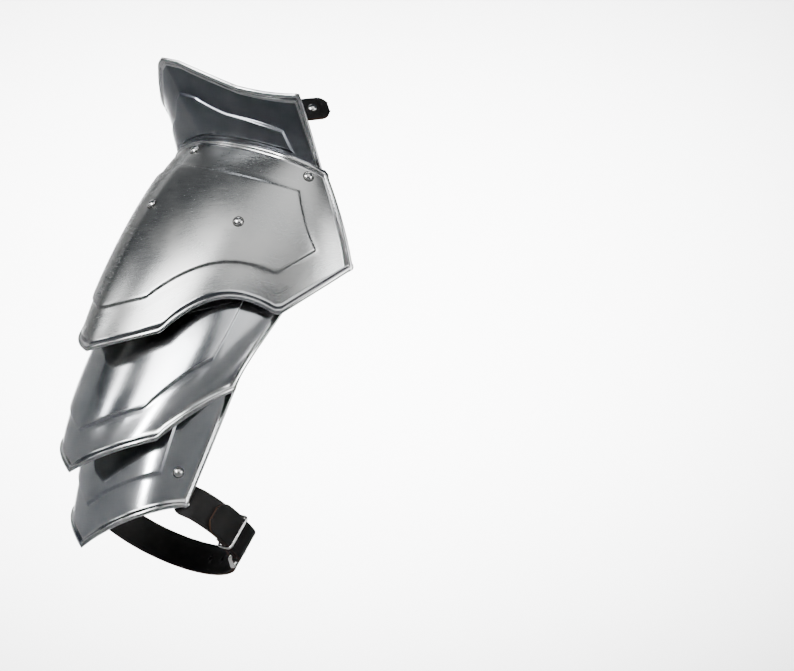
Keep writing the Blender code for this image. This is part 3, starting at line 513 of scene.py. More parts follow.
def leather_material(name, dark, light, smooth, rough, grain_depth):
    made, tree, shader = new_material(name)
    room = tree.nodes.new("ShaderNodeTexCoord").outputs["Object"]
    cells = tree.nodes.new("ShaderNodeTexVoronoi")
    cells.feature = "DISTANCE_TO_EDGE"
    cells.inputs["Scale"].default_value = PEBBLE_SCALE
    tree.links.new(room, cells.inputs["Vector"])
    pebble = add_range(tree, cells.outputs["Distance"], *PEBBLE_RANGE, 0.0, 1.0)
    worn = add_noise(tree, room, WORN_SCALE, 4.0)
    crease = add_noise(tree, room, CREASE_SCALE, 3.0)
    colour = add_mix(tree, add_range(tree, worn, *WORN_RANGE, 0.0, 1.0), dark, light)
    tree.links.new(colour, shader.inputs["Base Color"])
    tree.links.new(add_range(tree, worn, *CLOUD_RANGE, smooth, rough), shader.inputs["Roughness"])
    shader.inputs["Specular IOR Level"].default_value = LEATHER_SHINE
    height = add_math(tree, "ADD", pebble, add_math(tree, "MULTIPLY", crease, CREASE_SHARE))
    tree.links.new(add_bump(tree, height, grain_depth), shader.inputs["Normal"])
    return made


# Name, dark and light colour, smoothest, roughest, depth of the grain
LEATHERS = [
    ("black_leather", (0.005, 0.0045, 0.0045), (0.014, 0.012, 0.011), 0.42, 0.60, 0.00006),
    ("edge_leather", (0.035, 0.016, 0.009), (0.060, 0.030, 0.018), 0.6, 0.8, 0.0001),
]
black_leather, edge_leather = [leather_material(*row) for row in LEATHERS]
print("leather finishes made")

# %% [markdown]
# ## From grid to plate
#
# bmesh lays a flat grid, and each of its points is moved to the place that the rule gives.
# A hammered sheet is never quite true, so a slow noise then moves each point a tenth of a
# millimetre or so along its normal. Solidify thickens the sheet inwards, and its material
# offset of one gives the inside the next material in the list of four.

# %% A grid bent to a set of places
HAMMER_DEPTH = 0.00016
HAMMER_SCALE = 22.0
WRAP_LENGTH = 2.4


def bent_grid(places, size, patches=None):
    """A grid moved to places[row, column], its UV in metres, patches giving each face's material."""
    rows, cols = places.shape[:2]
    work = bmesh.new()
    layer = work.loops.layers.uv.new("sheet")
    bmesh.ops.create_grid(work, x_segments=cols - 1, y_segments=rows - 1, size=0.5)
    for face in work.faces:
        face.smooth = True
        if patches is not None:
            middle = face.calc_center_median()
            row = int((middle.y + 0.5) * (rows - 1))
            col = int((middle.x + 0.5) * (cols - 1))
            face.material_index = int(patches[row, col])
        for loop in face.loops:
            loop[layer].uv = ((loop.vert.co.x + 0.5) * size[0], (loop.vert.co.y + 0.5) * size[1])
    for vert in work.verts:
        i = round((vert.co.x + 0.5) * (cols - 1))
        j = round((vert.co.y + 0.5) * (rows - 1))
        vert.co = places[j, i]
    return work


def face_towards(work, normal, place):
    """Turns the faces over if the one nearest to the place looks away from the normal."""
    work.normal_update()
    middle = min(work.faces, key=lambda f: (f.calc_center_median() - Vector(place)).length)
    if middle.normal.dot(Vector(normal)) < 0:
        bmesh.ops.reverse_faces(work, faces=work.faces)


def hammered(work, depth, scale):
    work.normal_update()
    for vert in work.verts:
        vert.co += vert.normal * depth * noise.noise(vert.co * scale)


def new_object(name, data):
    obj = bpy.data.objects.new(name, data)
    bpy.context.scene.collection.objects.link(obj)
    return obj


def seen_mesh(obj):
    """A mesh of the object as it looks with its modifiers."""
    return bpy.data.meshes.new_from_object(obj.evaluated_get(bpy.context.evaluated_depsgraph_get()))


def finish_mesh(name, work, materials):
    mesh = bpy.data.meshes.new(name)
    work.to_mesh(mesh)
    work.free()
    for made in materials:
        mesh.materials.append(made)
    return new_object(name, mesh)


def place_piece(obj, node):
    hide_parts(node)
    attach(obj, "root")


# %% Lay, hammer and thicken the four plates
# Steel; columns of the panel, rows of border and panel; bead above, bead below, flange rows
PLATE_GRIDS = {
    "main_plate": (satin_steel, (46, 7, 44), (1, 1, 0)),
    # The guard's darker steel is painted shade for the dim room that it reflects.
    "neck_guard": (shaded_guard_steel, (40, 8, 22), (1, 0, 16)),
    "upper_lame": (buffed_steel, (40, 7, 36), (0, 1, 0)),
    "lower_lame": (buffed_steel, (36, 8, 28), (0, 1, 0)),
}
IN_PANEL = (0.3, 0.5)


def bead_highlight_patches(cols, rows):
    """Material of each face: 2, the lighter steel of a painted highlight, on the beads; 0 elsewhere."""
    across = [bool(col[4]) for col in cols]
    across = across[:0:-1] + across
    down = [bool(row[5]) for row in rows]
    beside = np.array([a or b for a, b in zip(across[:-1], across[1:])])
    above = np.array([a or b for a, b in zip(down[:-1], down[1:])])
    return 2 * (beside[None, :] | above[:, None])


def build_plate(name, plate, outside, counts, beads):
    inner, border, panel = counts
    cols = columns(plate, inner, border)
    rows = levels(panel, border, *beads)
    places = plate_points(plate, cols, rows)
    work = bent_grid(places, (WRAP_LENGTH * plate.half, abs(plate.drop)), bead_highlight_patches(cols, rows))
    face_towards(work, plate.normal(*IN_PANEL), plate.at(*IN_PANEL))
    hammered(work, HAMMER_DEPTH, HAMMER_SCALE)
    # The beads take the lighter steel: painted highlight along the rolled edges.
    obj = finish_mesh(name + "_sheet", work, (outside, inner_steel, bead_highlight_steel, inner_steel))
    wall = obj.modifiers.new("wall", "SOLIDIFY")
    wall.thickness = WALL
    wall.offset = -1.0
    wall.material_offset = 1
    print(f"{name}: {places.shape[0]} rows, {places.shape[1]} columns")
    place_piece(obj, name)


for plate_name, grid in PLATE_GRIDS.items():
    build_plate(plate_name, plates[plate_name], *grid)

# %% [markdown]
# ## Rivets
#
# A rivet is a domed head on a shank whose other end is hammered flat. Its outline is drawn
# once and spun round, and each copy stands square to the plate at the same place as in the
# frame. The domes are a little pointed, as a rivet set leaves them.

# %% Sizes of a rivet, and where each one is
RIVET_DOME = 0.0026
RIVET_SHANK = 0.0018
RIVET_PEEN = 0.0032
PEEN_THICKNESS = 0.0012
LEATHER = 0.0020
LEATHER_SLACK = 0.0003
STRAP = 0.0025
STRAP_SLACK = 0.0010
STRAP_CLEAR = 0.0018
NECK_STRAP_DEPTH = WALL + NECK_GAP + WALL + STRAP_CLEAR
GRIPS = {
    "guard": WALL + NECK_GAP + WALL + PEEN_GAP,
    "guard and strap": NECK_STRAP_DEPTH + STRAP + PEEN_GAP,
    "leather": WALL + GAP + LEATHER_SLACK + LEATHER + PEEN_GAP,
    "strap": WALL + GAP + STRAP_SLACK + STRAP + PEEN_GAP,
}
# Name, plate, share from ridge to edge, share down, raised, what it holds below the plate
RIVETS = [
    ("neck_rivet_ridge", "main_plate", 0.0, 0.085, 0, "guard and strap"),
    ("neck_rivet_front", "main_plate", 0.81, 0.105, 0, "guard"),
    ("neck_rivet_rear", "main_plate", -0.81, 0.105, 0, "guard"),
    ("main_rivet_ridge", "main_plate", 0.0, 0.37, 1, "leather"),
    ("main_rivet_front", "main_plate", 0.49, 0.43, 1, "leather"),
    ("main_rivet_rear", "main_plate", -0.49, 0.43, 1, "leather"),
    ("upper_rivet_ridge", "upper_lame", 0.0, 0.13, 0, "leather"),
    ("upper_rivet_front", "upper_lame", 0.55, 0.13, 0, "leather"),
    ("upper_rivet_rear", "upper_lame", -0.55, 0.13, 0, "leather"),
    ("lower_rivet_ridge", "lower_lame", 0.0, 0.14, 0, "leather"),
    ("lower_rivet_front", "lower_lame", 0.46, 0.14, 0, "leather"),
    ("lower_rivet_rear", "lower_lame", -0.46, 0.14, 0, "leather"),
    ("strap_rivet_front", "lower_lame", 0.76, 0.61, 0, "strap"),
    ("strap_rivet_rear", "lower_lame", -0.76, 0.61, 0, "strap"),
]


# %% Turn a rivet
RIVET_STEPS = 32
SHARP_ANGLE = math.radians(50)
DOME_STEPS = 9
DOME_RADIUS = 0.0038
DOME_POINT = 0.08
SHADOW_RING_RADIUS = 0.0043
SHADOW_RING_HEIGHT = 0.00012
SHADOW_RING_SUNK = 0.1
SHADOW_RING_FROM = 0.99 * DOME_RADIUS
PEEN_EDGE = 0.7
PEEN_FLAT = 0.75
MERGE_WITHIN = 1e-6


def rivet_outline(grip):
    """From the top of the head down the outer side to the middle of the peened end."""
    dome = [(DOME_RADIUS * math.sin(a),
             RIVET_DOME * ((1 - DOME_POINT) * math.cos(a) + DOME_POINT * math.cos(a) ** 4))
            for a in turns(DOME_STEPS, 0, 90)]
    peen = [(RIVET_PEEN, -grip), (RIVET_PEEN, -grip - PEEN_EDGE * PEEN_THICKNESS),
            (PEEN_FLAT * RIVET_PEEN, -grip - PEEN_THICKNESS), (0.0, -grip - PEEN_THICKNESS)]
    # A flat ring round the foot of the dome, which carries the painted shadow round the head.
    shadow_ring = [(DOME_RADIUS, SHADOW_RING_HEIGHT), (SHADOW_RING_RADIUS, SHADOW_RING_HEIGHT), (SHADOW_RING_RADIUS, -SHADOW_RING_SUNK * GAP)]
    return dome[:-1] + shadow_ring + [(RIVET_SHANK, 0.0), (RIVET_SHANK, -grip)] + peen


def smoothed(work):
    """Joins doubled points, turns the faces outwards and shades them smooth."""
    bmesh.ops.remove_doubles(work, verts=work.verts, dist=MERGE_WITHIN)
    bmesh.ops.recalc_face_normals(work, faces=work.faces)
    for face in work.faces:
        face.smooth = True
    return work


def spun(outline, steps):
    work = bmesh.new()
    points = [work.verts.new((radius, 0.0, height)) for radius, height in outline]
    edges = [work.edges.new(pair) for pair in zip(points[:-1], points[1:])]
    bmesh.ops.spin(work, geom=points + edges, cent=(0, 0, 0), axis=(0, 0, 1), angle=2 * math.pi,
                   steps=steps, use_merge=True)
    return smoothed(work)


def stand(point, normal):
    turn = Vector(normal).to_track_quat("Z", "Y").to_matrix().to_4x4()
    return Matrix.Translation(Vector(point)) @ turn


def set_rivet(node, point, normal, grip):
    work = spun(rivet_outline(grip), RIVET_STEPS)
    # Faces beyond the dome's edge take the near-black steel: painted shadow round the head.
    for face in work.faces:
        face.material_index = int(face.calc_center_median().xy.length > SHADOW_RING_FROM)
    bmesh.ops.transform(work, matrix=stand(point, normal), verts=work.verts)
    obj = finish_mesh(node + "_turned", work, (bright_steel, rivet_shadow_ring))
    obj.data.set_sharp_from_angle(angle=SHARP_ANGLE)
    place_piece(obj, node)


for node, plate_name, s, t, raised, under in RIVETS:
    plate = plates[plate_name]
    set_rivet(node, plate.offset(s, t, EMBOSS * raised), plate.normal(s, t), GRIPS[under])
print(len(RIVETS), "rivets set in the plates")

# %% [markdown]
# ## Straps
#
# A strap is a strip of leather that follows a line: centres along its middle and, at each,
# half its width as an arrow. A smooth curve is read through the centres, a grid is laid along
# it, Solidify gives the leather its thickness, and Bevel rounds the cut edges.

# %% A smooth line through rows of numbers
def smooth_rows(rows, pieces):
    """Reads a smooth curve through the rows, with so many pieces between two rows."""
    rows = np.asarray(rows, float)
    padded = np.vstack([2 * rows[0] - rows[1], rows, 2 * rows[-1] - rows[-2]])
    made = []
    for i in range(1, len(padded) - 2):
        p0, p1, p2, p3 = padded[i - 1:i + 3]
        for k in range(pieces):
            u = k / pieces
            made.append(p1 + 0.5 * u * (p2 - p0 + u * (2 * p0 - 5 * p1 + 4 * p2 - p3
                                                       + u * (3 * (p1 - p2) + p3 - p0))))
    made.append(padded[-2])
    return np.array(made)


# %% A strap from its centres and half widths
CREASE_DEPTH = 0.00018
STRAP_PIECES = 4
STRAP_ROUNDING = 0.0005
ROUNDED_FROM = math.radians(60)
STRAP_PATCH = (0.025, 0.30)
# Share of the half width, and depth of the crease that runs along each edge
STRAP_ACROSS = [(-1.0, 0), (-0.9, 0), (-0.84, 1), (-0.78, 0), (-0.4, 0), (0.0, 0),
                (0.4, 0), (0.78, 0), (0.84, 1), (0.9, 0), (1.0, 0)]


def thick_leather(obj, thickness, offset, rounding):
    """Gives a strip its thickness and rounds its cut edges."""
    wall = obj.modifiers.new("thickness", "SOLIDIFY")
    wall.thickness = thickness
    wall.offset = offset
    wall.material_offset_rim = 1
    rounded = obj.modifiers.new("rounded", "BEVEL")
    rounded.width = rounding
    rounded.segments = 2
    rounded.limit_method = "ANGLE"
    rounded.angle_limit = ROUNDED_FROM


def strap_piece(name, centres, sides):
    centres = smooth_rows(centres, STRAP_PIECES)
    sides = smooth_rows(sides, STRAP_PIECES)
    ahead = unit(np.gradient(centres, axis=0))
    up = unit(np.cross(ahead, sides))
    grid = [centres + sides * share - up * CREASE_DEPTH * crease for share, crease in STRAP_ACROSS]
    work = bent_grid(np.array(grid).transpose(1, 0, 2), STRAP_PATCH)
    obj = finish_mesh(name, work, (black_leather, edge_leather))
    thick_leather(obj, STRAP, 0.0, STRAP_ROUNDING)
    print(f"{name}: {len(centres)} rows")
    return obj


# %% [markdown]
# ## Leathers that carry the lames
#
# Three strips run down inside the plates, and the rivets clamp them to each plate in turn.
# They show only from below and behind. Their centres are the frame's, and their width is
# measured along the plate.

# %% Rows of the leathers: plate, share from ridge at the sides, share down, slack, raised
LEATHER_WIDTH = 0.022
LEATHER_STEPS = 4
LEATHER_ACROSS = 9
LEATHER_ROUNDING = 0.0004
LEATHER_PATCH = (0.022, 0.18)
CENTRE_TOP = [("main_plate", 0.0, t, 0.0, 1) for t in (0.31, 0.37, 0.43)]
SIDE_TOP = [("main_plate", s, t, 0.0, 1) for s, t in ((0.49, 0.37), (0.49, 0.43), (0.50, 0.49))]
HANGING = [
    ("upper_lame", 0.54, -0.03, 1.25, 0), ("upper_lame", 0.55, 0.05, 0.3, 0),
    ("upper_lame", 0.55, 0.09, 0.0, 0), ("upper_lame", 0.55, 0.17, 0.0, 0),
    ("upper_lame", 0.55, 0.23, 0.75, 0), ("lower_lame", 0.46, -0.03, 1.25, 0),
    ("lower_lame", 0.46, 0.05, 0.3, 0), ("lower_lame", 0.46, 0.09, 0.0, 0),
    ("lower_lame", 0.46, 0.20, 0.0, 0),
]


def leather_piece(node, rows, turn):
    """A strip across the plates: turn is 0 on the ridge, 1 in front of it, -1 behind."""
    grid = []
    for plate_name, s, t, slack, raised in rows:
        plate = plates[plate_name]
        by_s, _ = plate.along(turn * s, t)
        reach = LEATHER_WIDTH / 2 / np.linalg.norm(by_s)
        inward = WALL + GAP + LEATHER_SLACK + slack * LEATHER - EMBOSS * raised
        grid.append([plate.offset(turn * s + reach * k, t, -inward)
                     for k in spread(LEATHER_ACROSS, -1.0, 1.0)])
    grid = np.array(grid)
    fine = [a + (b - a) * k / LEATHER_STEPS for a, b in zip(grid[:-1], grid[1:])
            for k in range(LEATHER_STEPS)]
    fine = np.array(fine + [grid[-1]])
    work = bent_grid(fine, LEATHER_PATCH)
    plate_name, s, t, _, _ = rows[0]
    face_towards(work, plates[plate_name].normal(turn * s, t), grid[0][LEATHER_ACROSS // 2])
    obj = finish_mesh(node + "_strip", work, (black_leather, edge_leather))
    thick_leather(obj, LEATHER, -1.0, LEATHER_ROUNDING)
    place_piece(obj, node)


leather_piece("centre_leather", CENTRE_TOP + HANGING, 0)
leather_piece("front_leather", SIDE_TOP + HANGING, 1)
leather_piece("rear_leather", SIDE_TOP + HANGING, -1)

# %% [markdown]
# ## The arm strap
#
# The strap is two leathers. A short tab holds the buckle at the front, and a long billet
# comes round from the back, passes through the buckle, and lies on the tab with its free end
# under a wire keeper. Both follow one ellipse round the arm, in a plane that tips down
# towards the body.

# %% Sizes of the strap, the loop and the buckle
STRAP_WIDTH = 0.025
LOOP_TILT = 35.0
LOOP_REACH = 0.058
LOOP_CENTRE = 0.032
LOOP_LEAD = 0.16
BUCKLE_ANGLE = 62.0
BAR = 0.0016
PRONG = 0.0011
PRONG_LEAN = 6.0
PRONG_PAST = 0.4
KEEPER_WIRE = 0.0011
BUCKLE_LENGTH = 0.018
FRAME_CORNER = 0.0021
FRAME_SLACK = 0.0004
KEEPER_CORNER = 0.0028
KEEPER_BACK = 0.0165
KEEPER_SLACK = 0.0010
FREE_END = 0.034
TAB_LEAD = 0.67
TAB_RETURN = 0.024
POINT_LENGTH = 0.008
POINT_NARROWING = 0.82
POINT_ROWS = 6
LOOP_ROWS = 19
FREE_ROWS = 5
TAB_ROWS = 9
RETURN_ROWS = 3
PRONG_ROWS = 12
PRONG_TAPER = 0.8
FOLD_DEGREES = (90, 60, 30, 0, -30, -60, -90)
STRAP_ON_LAME = [(0.69, 0.53), (0.76, 0.61), (0.86, 0.725), (0.95, 0.83)]
# Way through the buckle: share of the buckle's length before its heel bar, share of the fold
BILLET_PASS = [
    (1.75, 0.0), (1.35, -1.05), (1.10, -1.46), (0.88, -1.46), (0.61, -0.40),
    (0.33, 1.06), (0.0, 1.56), (-0.33, 1.36), (-0.67, 0.96),
]
BILLET_REST = 0.93


# %% The loop round the arm
class Loop:
    def __init__(self, lame):
        tilt = math.radians(LOOP_TILT)
        self.inward = np.array([math.cos(tilt), 0.0, -math.sin(tilt)])
        self.across = np.array([math.sin(tilt), 0.0, math.cos(tilt)])
        self.lame = lame
        leave = self.on_lame(*STRAP_ON_LAME[-1])
        self.origin = np.array([leave[0], 0.0, leave[2]])
        self.start = math.acos(-LOOP_CENTRE / LOOP_REACH)
        self.half = -leave[1] / math.sin(self.start)

    def on_lame(self, s, t):
        return self.lame.offset(s, t, -(WALL + GAP + STRAP_SLACK + STRAP / 2))

    def side_on_lame(self, s, t):
        normal = self.lame.normal(s, t)
        return unit(self.across - normal * np.dot(self.across, normal)) * STRAP_WIDTH / 2

    def at(self, angle, lift=0.0):
        out = unit(np.array([math.cos(angle) / LOOP_REACH, math.sin(angle) / self.half]))
        inward = LOOP_CENTRE + LOOP_REACH * math.cos(angle) + lift * out[0]
        side = self.half * math.sin(angle) + lift * out[1]
        return self.origin + self.inward * inward + np.array([0.0, -side, 0.0])

    def speed(self, angle):
        return math.hypot(LOOP_REACH * math.sin(angle), self.half * math.cos(angle))


def tip_rows(centres, sides):
    """Narrows the end of a strap to a rounded point."""
    forward = unit(centres[-1] - centres[-2])
    full = sides[-1]
    for share in spread(POINT_ROWS + 1)[1:]:
        centres.append(centres[-1] + forward * POINT_LENGTH / POINT_ROWS)
        sides.append(full * math.sqrt(1.0 - POINT_NARROWING * share * share))
    return centres, sides


# %% Where the buckle sits on the loop
loop = Loop(lower)
heel = math.radians(BUCKLE_ANGLE)
speed = loop.speed(heel)
fold = BAR + GAP + STRAP / 2
bar_lift = -(STRAP + GAP) / 2
wide = loop.across * STRAP_WIDTH / 2
forward = unit(loop.at(heel - SURFACE_STEP) - loop.at(heel + SURFACE_STEP))
outward = loop.at(heel, 1.0) - loop.at(heel)


def near(distance, lift):
    """A place so far past the heel bar, lifted off the loop."""
    return loop.at(heel - distance / speed, lift)


bar = near(0.0, bar_lift)
print("heel bar of the buckle at", bar.round(4))

# %% The long billet, from the rear of the lame to its free end
flip = np.array([1.0, -1.0, 1.0])
begin = loop.start - LOOP_LEAD
ready = heel - BILLET_PASS[0][0] * BUCKLE_LENGTH / speed
centres = [loop.on_lame(s, t) * flip for s, t in STRAP_ON_LAME]
sides = [loop.side_on_lame(s, t) * flip for s, t in STRAP_ON_LAME]
centres += [loop.at(-begin + (ready + begin) * share) for share in spread(LOOP_ROWS)]
centres += [near(distance * BUCKLE_LENGTH, lift * fold) for distance, lift in BILLET_PASS[1:]]
rest = BILLET_REST * fold
passed = -BILLET_PASS[-1][0] * BUCKLE_LENGTH
centres += [near(-(passed + (FREE_END - passed) * share), rest) for share in spread(FREE_ROWS)[1:]]
sides += [wide] * (len(centres) - len(sides))
centres, sides = tip_rows(centres, sides)
billet = strap_piece("arm_billet", centres, sides)

# %% The buckle tab, folded round the heel bar
centres = [loop.on_lame(s, t) for s, t in STRAP_ON_LAME]
sides = [loop.side_on_lame(s, t) for s, t in STRAP_ON_LAME]
lead = TAB_LEAD * BUCKLE_LENGTH
stop = heel + lead / speed
centres += [loop.at(begin + (stop - begin) * share) for share in spread(TAB_ROWS)]
for degrees in FOLD_DEGREES:
    angle = math.radians(degrees)
    centres.append(bar + fold * (forward * math.cos(angle) + outward * math.sin(angle)))
centres += [near(-(lead + (TAB_RETURN - lead) * share), -(STRAP + GAP)) for share in spread(RETURN_ROWS)]
sides += [wide] * (len(centres) - len(sides))
place_piece(strap_piece("tab_leather", centres, sides), "buckle_tab")

# %% [markdown]
# ## Buckle, prong and keeper
#
# The buckle is a rectangle of round bar with soft corners, and the keeper is a thinner one
# that stands across the strap. Both are curves with a round section, made into meshes. The
# prong tapers a little towards its tip, which rests on the front bar.

# %% Bars and wires
CORNER_STEPS = 9
WIRE_SIDES = 5


def rounded_frame(centre, long_way, wide_way, half_long, half_wide, corner):
    """Places round a rectangle with rounded corners."""
    places = []
    for turn in range(4):
        sign_long = 1 if turn in (0, 3) else -1
        sign_wide = 1 if turn in (0, 1) else -1
        for k in spread(CORNER_STEPS, 0.0, 90.0):
            angle = math.radians(90 * turn + k)
            along = sign_long * (half_long - corner) + corner * math.cos(angle)
            across = sign_wide * (half_wide - corner) + corner * math.sin(angle)
            places.append(centre + long_way * along + wide_way * across)
    return places


def wire(name, places, radius, closed, thinner=1.0):
    """A bar of round section along the places, thinner at its end, as a mesh."""
    curve = bpy.data.curves.new(name + "_line", "CURVE")
    curve.dimensions = "3D"
    curve.bevel_depth = radius
    curve.bevel_resolution = WIRE_SIDES
    curve.use_fill_caps = not closed
    spline = curve.splines.new("POLY")
    spline.points.add(len(places) - 1)
    for k, (point, place) in enumerate(zip(spline.points, places)):
        point.co = (*place, 1.0)
        point.radius = 1.0 + (thinner - 1.0) * k / (len(places) - 1)
    spline.use_cyclic_u = closed
    source = new_object(name + "_line", curve)
    bpy.context.view_layer.update()
    mesh = seen_mesh(source)
    bpy.data.objects.remove(source)
    work = bmesh.new()
    work.from_mesh(mesh)
    obj = finish_mesh(name, smoothed(work), (bright_steel,))
    obj.data.set_sharp_from_angle(angle=SHARP_ANGLE)
    return obj


front = near(BUCKLE_LENGTH, bar_lift)
long_way = unit(front - bar)
half_long = np.linalg.norm(front - bar) / 2
half_wide = STRAP_WIDTH / 2 + GAP + BAR + FRAME_SLACK
frame_places = rounded_frame((front + bar) / 2, long_way, loop.across, half_long, half_wide, FRAME_CORNER)
place_piece(wire("buckle_frame", frame_places, BAR, True), "arm_buckle")

eye = fold + STRAP / 2 + GAP + PRONG
lean = math.radians(PRONG_LEAN)
prong_from = bar + eye * (forward * math.cos(lean) + outward * math.sin(lean))
prong_over = near(BUCKLE_LENGTH + PRONG_PAST * BAR, bar_lift + BAR + GAP + PRONG)
reach = prong_over - prong_from
prong_places = [prong_from + reach * share for share in spread(PRONG_ROWS)]
place_piece(wire("buckle_tongue", prong_places, PRONG, False, PRONG_TAPER), "buckle_prong")

top = rest + STRAP / 2
low = -(STRAP + GAP) - STRAP / 2
keeper_angle = heel + KEEPER_BACK / speed
keeper_out = loop.at(keeper_angle, 1.0) - loop.at(keeper_angle)
half_high = (top - low) / 2 + KEEPER_SLACK + KEEPER_WIRE
keeper_wide = STRAP_WIDTH / 2 + GAP + KEEPER_WIRE
keeper_places = rounded_frame(near(-KEEPER_BACK, (top + low) / 2), keeper_out, loop.across,
                              half_high, keeper_wide, KEEPER_CORNER)
place_piece(wire("keeper_wire", keeper_places, KEEPER_WIRE, True), "arm_keeper")

# %% Punch the billet: a slot for the prong and a row of spare holes
HOLE_RADIUS = 0.0016
HOLE_STEP = 0.013
HOLES_FROM = 2 * BUCKLE_LENGTH
PUNCH_HALF = 0.003
SLOT_LEAD = 0.2
HOLES = 3


def punched(obj, punches):
    """Cuts the punches out of the strap and removes them."""
    for punch in punches:
        hole = obj.modifiers.new("hole", "BOOLEAN")
        hole.operation = "DIFFERENCE"
        hole.solver = "EXACT"
        hole.object = punch
    mesh = seen_mesh(obj)
    obj.modifiers.clear()
    obj.data = mesh
    for punch in punches:
        bpy.data.objects.remove(punch)
    return obj


punches = [wire("slot_punch", [prong_from - reach * SLOT_LEAD, prong_over], PRONG + 2 * GAP, False)]
for k in range(1, HOLES + 1):
    place = near(HOLES_FROM + HOLE_STEP * k, 0.0)
    stroke = (near(HOLES_FROM + HOLE_STEP * k, 1.0) - place) * PUNCH_HALF
    punches.append(wire(f"punch_{k}", [place - stroke, place + stroke], HOLE_RADIUS, False))
place_piece(punched(billet, punches), "arm_strap")
print("billet punched:", len(billet.data.polygons), "faces")

# %% [markdown]
# ## The suspension strap
#
# The pauldron hangs from a collar by one short strap. It is clamped under the ridge rivet of
# the main plate, rises past the guard and turns to lie flat at its end, where a rivet and a
# lace would hold it.

# %% The strap to the collar and its rivet
NECK_STRAP_WIDTH = 0.022
NECK_STRAP_REACH = 0.098
NECK_STRAP_RISE = 0.033
NECK_STRAP_FORWARD = 0.030
NECK_STRAP_TWIST = 48.0
NECK_STRAP_FLAT = 0.026
NECK_STRAP_BOW = 2.2
NECK_STRAP_ROWS = 9
NECK_STRAP_ROOT = (0.15, 0.115, 0.085, 0.05, 0.02)
LAND_FROM = 0.0014
LAND_LENGTH = 0.0062
END_NOD = 2.0
END_RIVET_BACK = 0.013

depth = NECK_STRAP_DEPTH + STRAP / 2
centres = [main.offset(0.0, share, -depth) for share in NECK_STRAP_ROOT]
sides = [np.array([0.0, -NECK_STRAP_WIDTH / 2, 0.0]) for _ in centres]
start = centres[-1]
end = np.array([start[0] + NECK_STRAP_REACH, -NECK_STRAP_FORWARD, start[2] + NECK_STRAP_RISE])
flat_share = 1.0 - NECK_STRAP_FLAT / NECK_STRAP_REACH


def strap_way(share):
    rise = 1.0 - (1.0 - share) ** NECK_STRAP_BOW
    return np.array([start[0] + (end[0] - start[0]) * share, end[1] * share ** 2,
                     start[2] + (end[2] - start[2]) * rise])


def strap_heading(share):
    return unit(strap_way(share + LINE_STEP) - strap_way(share - LINE_STEP))


for share in spread(NECK_STRAP_ROWS, 0.0, flat_share)[1:]:
    heading = strap_heading(share)
    level = -unit(np.cross(np.array([0.0, 0.0, 1.0]), heading))
    upright = np.cross(heading, level)
    ease = share / flat_share
    twist = math.radians(NECK_STRAP_TWIST) * ease * ease * (3 - 2 * ease)
    turned = level * math.cos(twist) - upright * math.sin(twist) * np.sign(upright[2])
    centres.append(strap_way(share))
    sides.append(turned * NECK_STRAP_WIDTH / 2)
heading = strap_heading(flat_share)
heading = unit(heading - sides[-1] * np.dot(heading, sides[-1]) / np.dot(sides[-1], sides[-1]))
face = -unit(np.cross(heading, sides[-1]))
flat_start = centres[-1]
for distance in (LAND_FROM, LAND_FROM + LAND_LENGTH):
    centres.append(flat_start + heading * distance)
    sides.append(sides[-1])
nod = math.radians(END_NOD)
lowered = heading * math.cos(nod) - face * math.sin(nod)
face = face * math.cos(nod) + heading * math.sin(nod)
bend = centres[-1]
past = NECK_STRAP_FLAT - LAND_FROM - LAND_LENGTH
centres.append(bend + lowered * (past - POINT_LENGTH))
sides.append(sides[-1])
end_rivet = bend + lowered * (past - END_RIVET_BACK)
centres, sides = tip_rows(centres, sides)
place_piece(strap_piece("collar_strap", centres, sides), "suspension_strap")
set_rivet("suspension_rivet", end_rivet + face * STRAP / 2, face, STRAP + GAP)

# %% [markdown]
# ## The studio
#
# Polished steel shows the room more than itself, so the room is part of the picture. The
# floor is a round pale sweep whose rim curves up into a wall, so that every view has the same
# plain ground. The lights are soft boxes with a narrow spread: they make long bright bands in
# the steel and leave the floor beside it dim, which gives the dark bands between them. One more
# light shines on the wall behind the armour and makes the background nearly white.

# %% Pale floor and wall in one round sweep
FLOOR_Z = cad_box[0].z - 0.80
PAPER = (0.90, 0.90, 0.90, 1.0)
PAPER_ROUGHNESS = 0.9
CORNER_ROWS = 13
SWEEP_REACH = 4.6
SWEEP_CORNER = 1.1
SWEEP_HEIGHT = 3.4
SWEEP_STEPS = 72


def pale_sweep():
    corner = [(SWEEP_REACH - SWEEP_CORNER + SWEEP_CORNER * math.sin(a), SWEEP_CORNER * (1.0 - math.cos(a)))
              for a in turns(CORNER_ROWS, 0, 90)]
    work = spun([(0.0, 0.0)] + corner + [(SWEEP_REACH, SWEEP_HEIGHT)], SWEEP_STEPS)
    bmesh.ops.translate(work, verts=work.verts, vec=(0, 0, FLOOR_Z))
    made, _, shader = new_material("pale_paper")
    shader.inputs["Base Color"].default_value = PAPER
    shader.inputs["Roughness"].default_value = PAPER_ROUGHNESS
    obj = finish_mesh("pale_sweep", work, (made,))


pale_sweep()

# %% Camera at the photograph's angle
FOCAL_PIXELS = 3905.0
FRAME_PIXELS = 794.0
SENSOR = 36.0
CAMERA_DISTANCE = 3.0
LOCAL_AZIMUTH, LOCAL_ELEVATION = -35.0, -3.0
AXIS_AZIMUTH, AXIS_ELEVATION = -37.8, -0.13


def towards(azimuth, elevation):
    """Unit arrow from the object to a viewer at that azimuth and elevation."""
    a, e = math.radians(azimuth), math.radians(elevation)
    return Vector((math.sin(a) * math.cos(e), -math.cos(a) * math.cos(e), math.sin(e)))


def look_from(obj, place, way):
    obj.location = place
    obj.rotation_mode = "QUATERNION"
    obj.rotation_quaternion = way.to_track_quat("-Z", "Y")


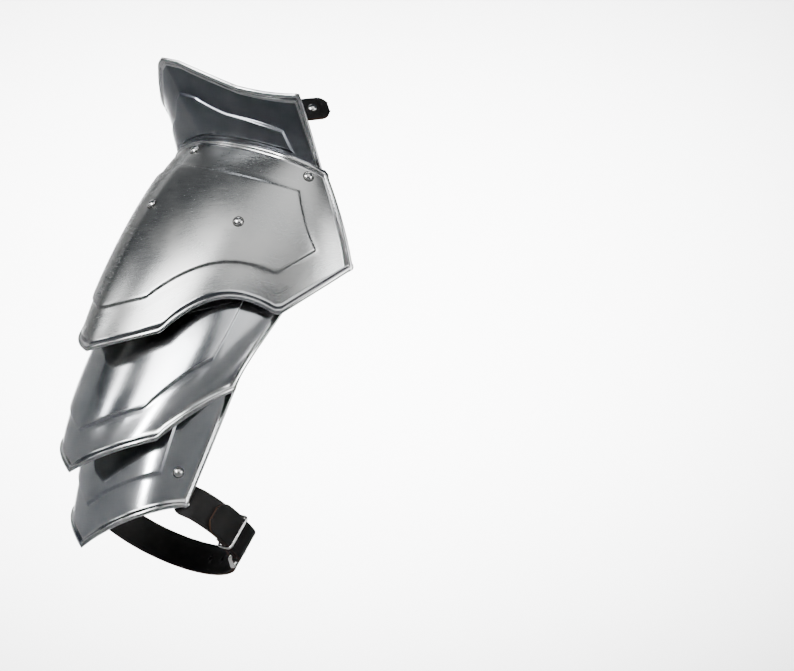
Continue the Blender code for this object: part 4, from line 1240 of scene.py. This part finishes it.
ridge_top = Vector(main.at(0.0, 0.0))
view = bpy.data.cameras.new("view")
view.sensor_width = SENSOR
view.lens = FOCAL_PIXELS / FRAME_PIXELS * SENSOR
camera = new_object("view", view)
look_from(camera, ridge_top + towards(LOCAL_AZIMUTH, LOCAL_ELEVATION) * CAMERA_DISTANCE,
          -towards(AXIS_AZIMUTH, AXIS_ELEVATION))
bpy.context.scene.camera = camera
print("camera", round(camera.location.z - FLOOR_Z, 3), "m above the floor")

# %% Soft lights and the air of the room
AIM = Vector((-0.01, 0.0, -0.10))
AIR_COLOUR = (0.74, 0.86, 1.0, 1.0)
AIR_STRENGTH = 0.06
WALL_LIGHT_BACK = 2.4
WALL_LIGHT_UP = 1.2
WALL_LIGHT_SIZE = (2.0, 0.5)
WALL_SPREAD = 52.0
WALL_WATTS = 110.0
# Name, azimuth, elevation, distance, width, height, watts, spread in degrees
LIGHTS = [
    ("key", -77.0, 35.0, 1.5, 0.86, 0.46, 3.1, 70.0),
    ("front", 23.0, 8.0, 1.6, 0.40, 0.90, 1.4, 70.0),
    ("overhead", -12.0, 44.0, 1.8, 1.5, 1.3, 2.4, 90.0),
    ("low", -68.0, 18.0, 1.7, 0.19, 0.46, 1.3, 60.0),
    ("strip", -121.0, 32.0, 1.6, 0.12, 0.36, 0.16, 60.0),
    ("rear", 165.0, 40.0, 1.8, 1.0, 1.0, 0.5, 90.0),
]


def soft_box(name, place, aim, width, height, watts, cone):
    lamp = bpy.data.lights.new(name, "AREA")
    lamp.shape = "RECTANGLE"
    lamp.size = width
    lamp.size_y = height
    lamp.energy = watts
    lamp.spread = math.radians(cone)
    look_from(new_object(name, lamp), place, aim - place)


for name, azimuth, elevation, distance, width, height, watts, cone in LIGHTS:
    soft_box(name, AIM + towards(azimuth, elevation) * distance, AIM, width, height, watts, cone)
behind = towards(AXIS_AZIMUTH + 180.0, 0.0)
wall_place = AIM + behind * WALL_LIGHT_BACK + Vector((0, 0, WALL_LIGHT_UP))
soft_box("wall", wall_place, AIM + behind * SWEEP_REACH, *WALL_LIGHT_SIZE, WALL_WATTS, WALL_SPREAD)

world = bpy.data.worlds.new("room")
bpy.context.scene.world = world
world.use_nodes = True
air = world.node_tree.nodes["Background"]
air.inputs["Color"].default_value = AIR_COLOUR
air.inputs["Strength"].default_value = AIR_STRENGTH
print(len(LIGHTS) + 1, "lights")
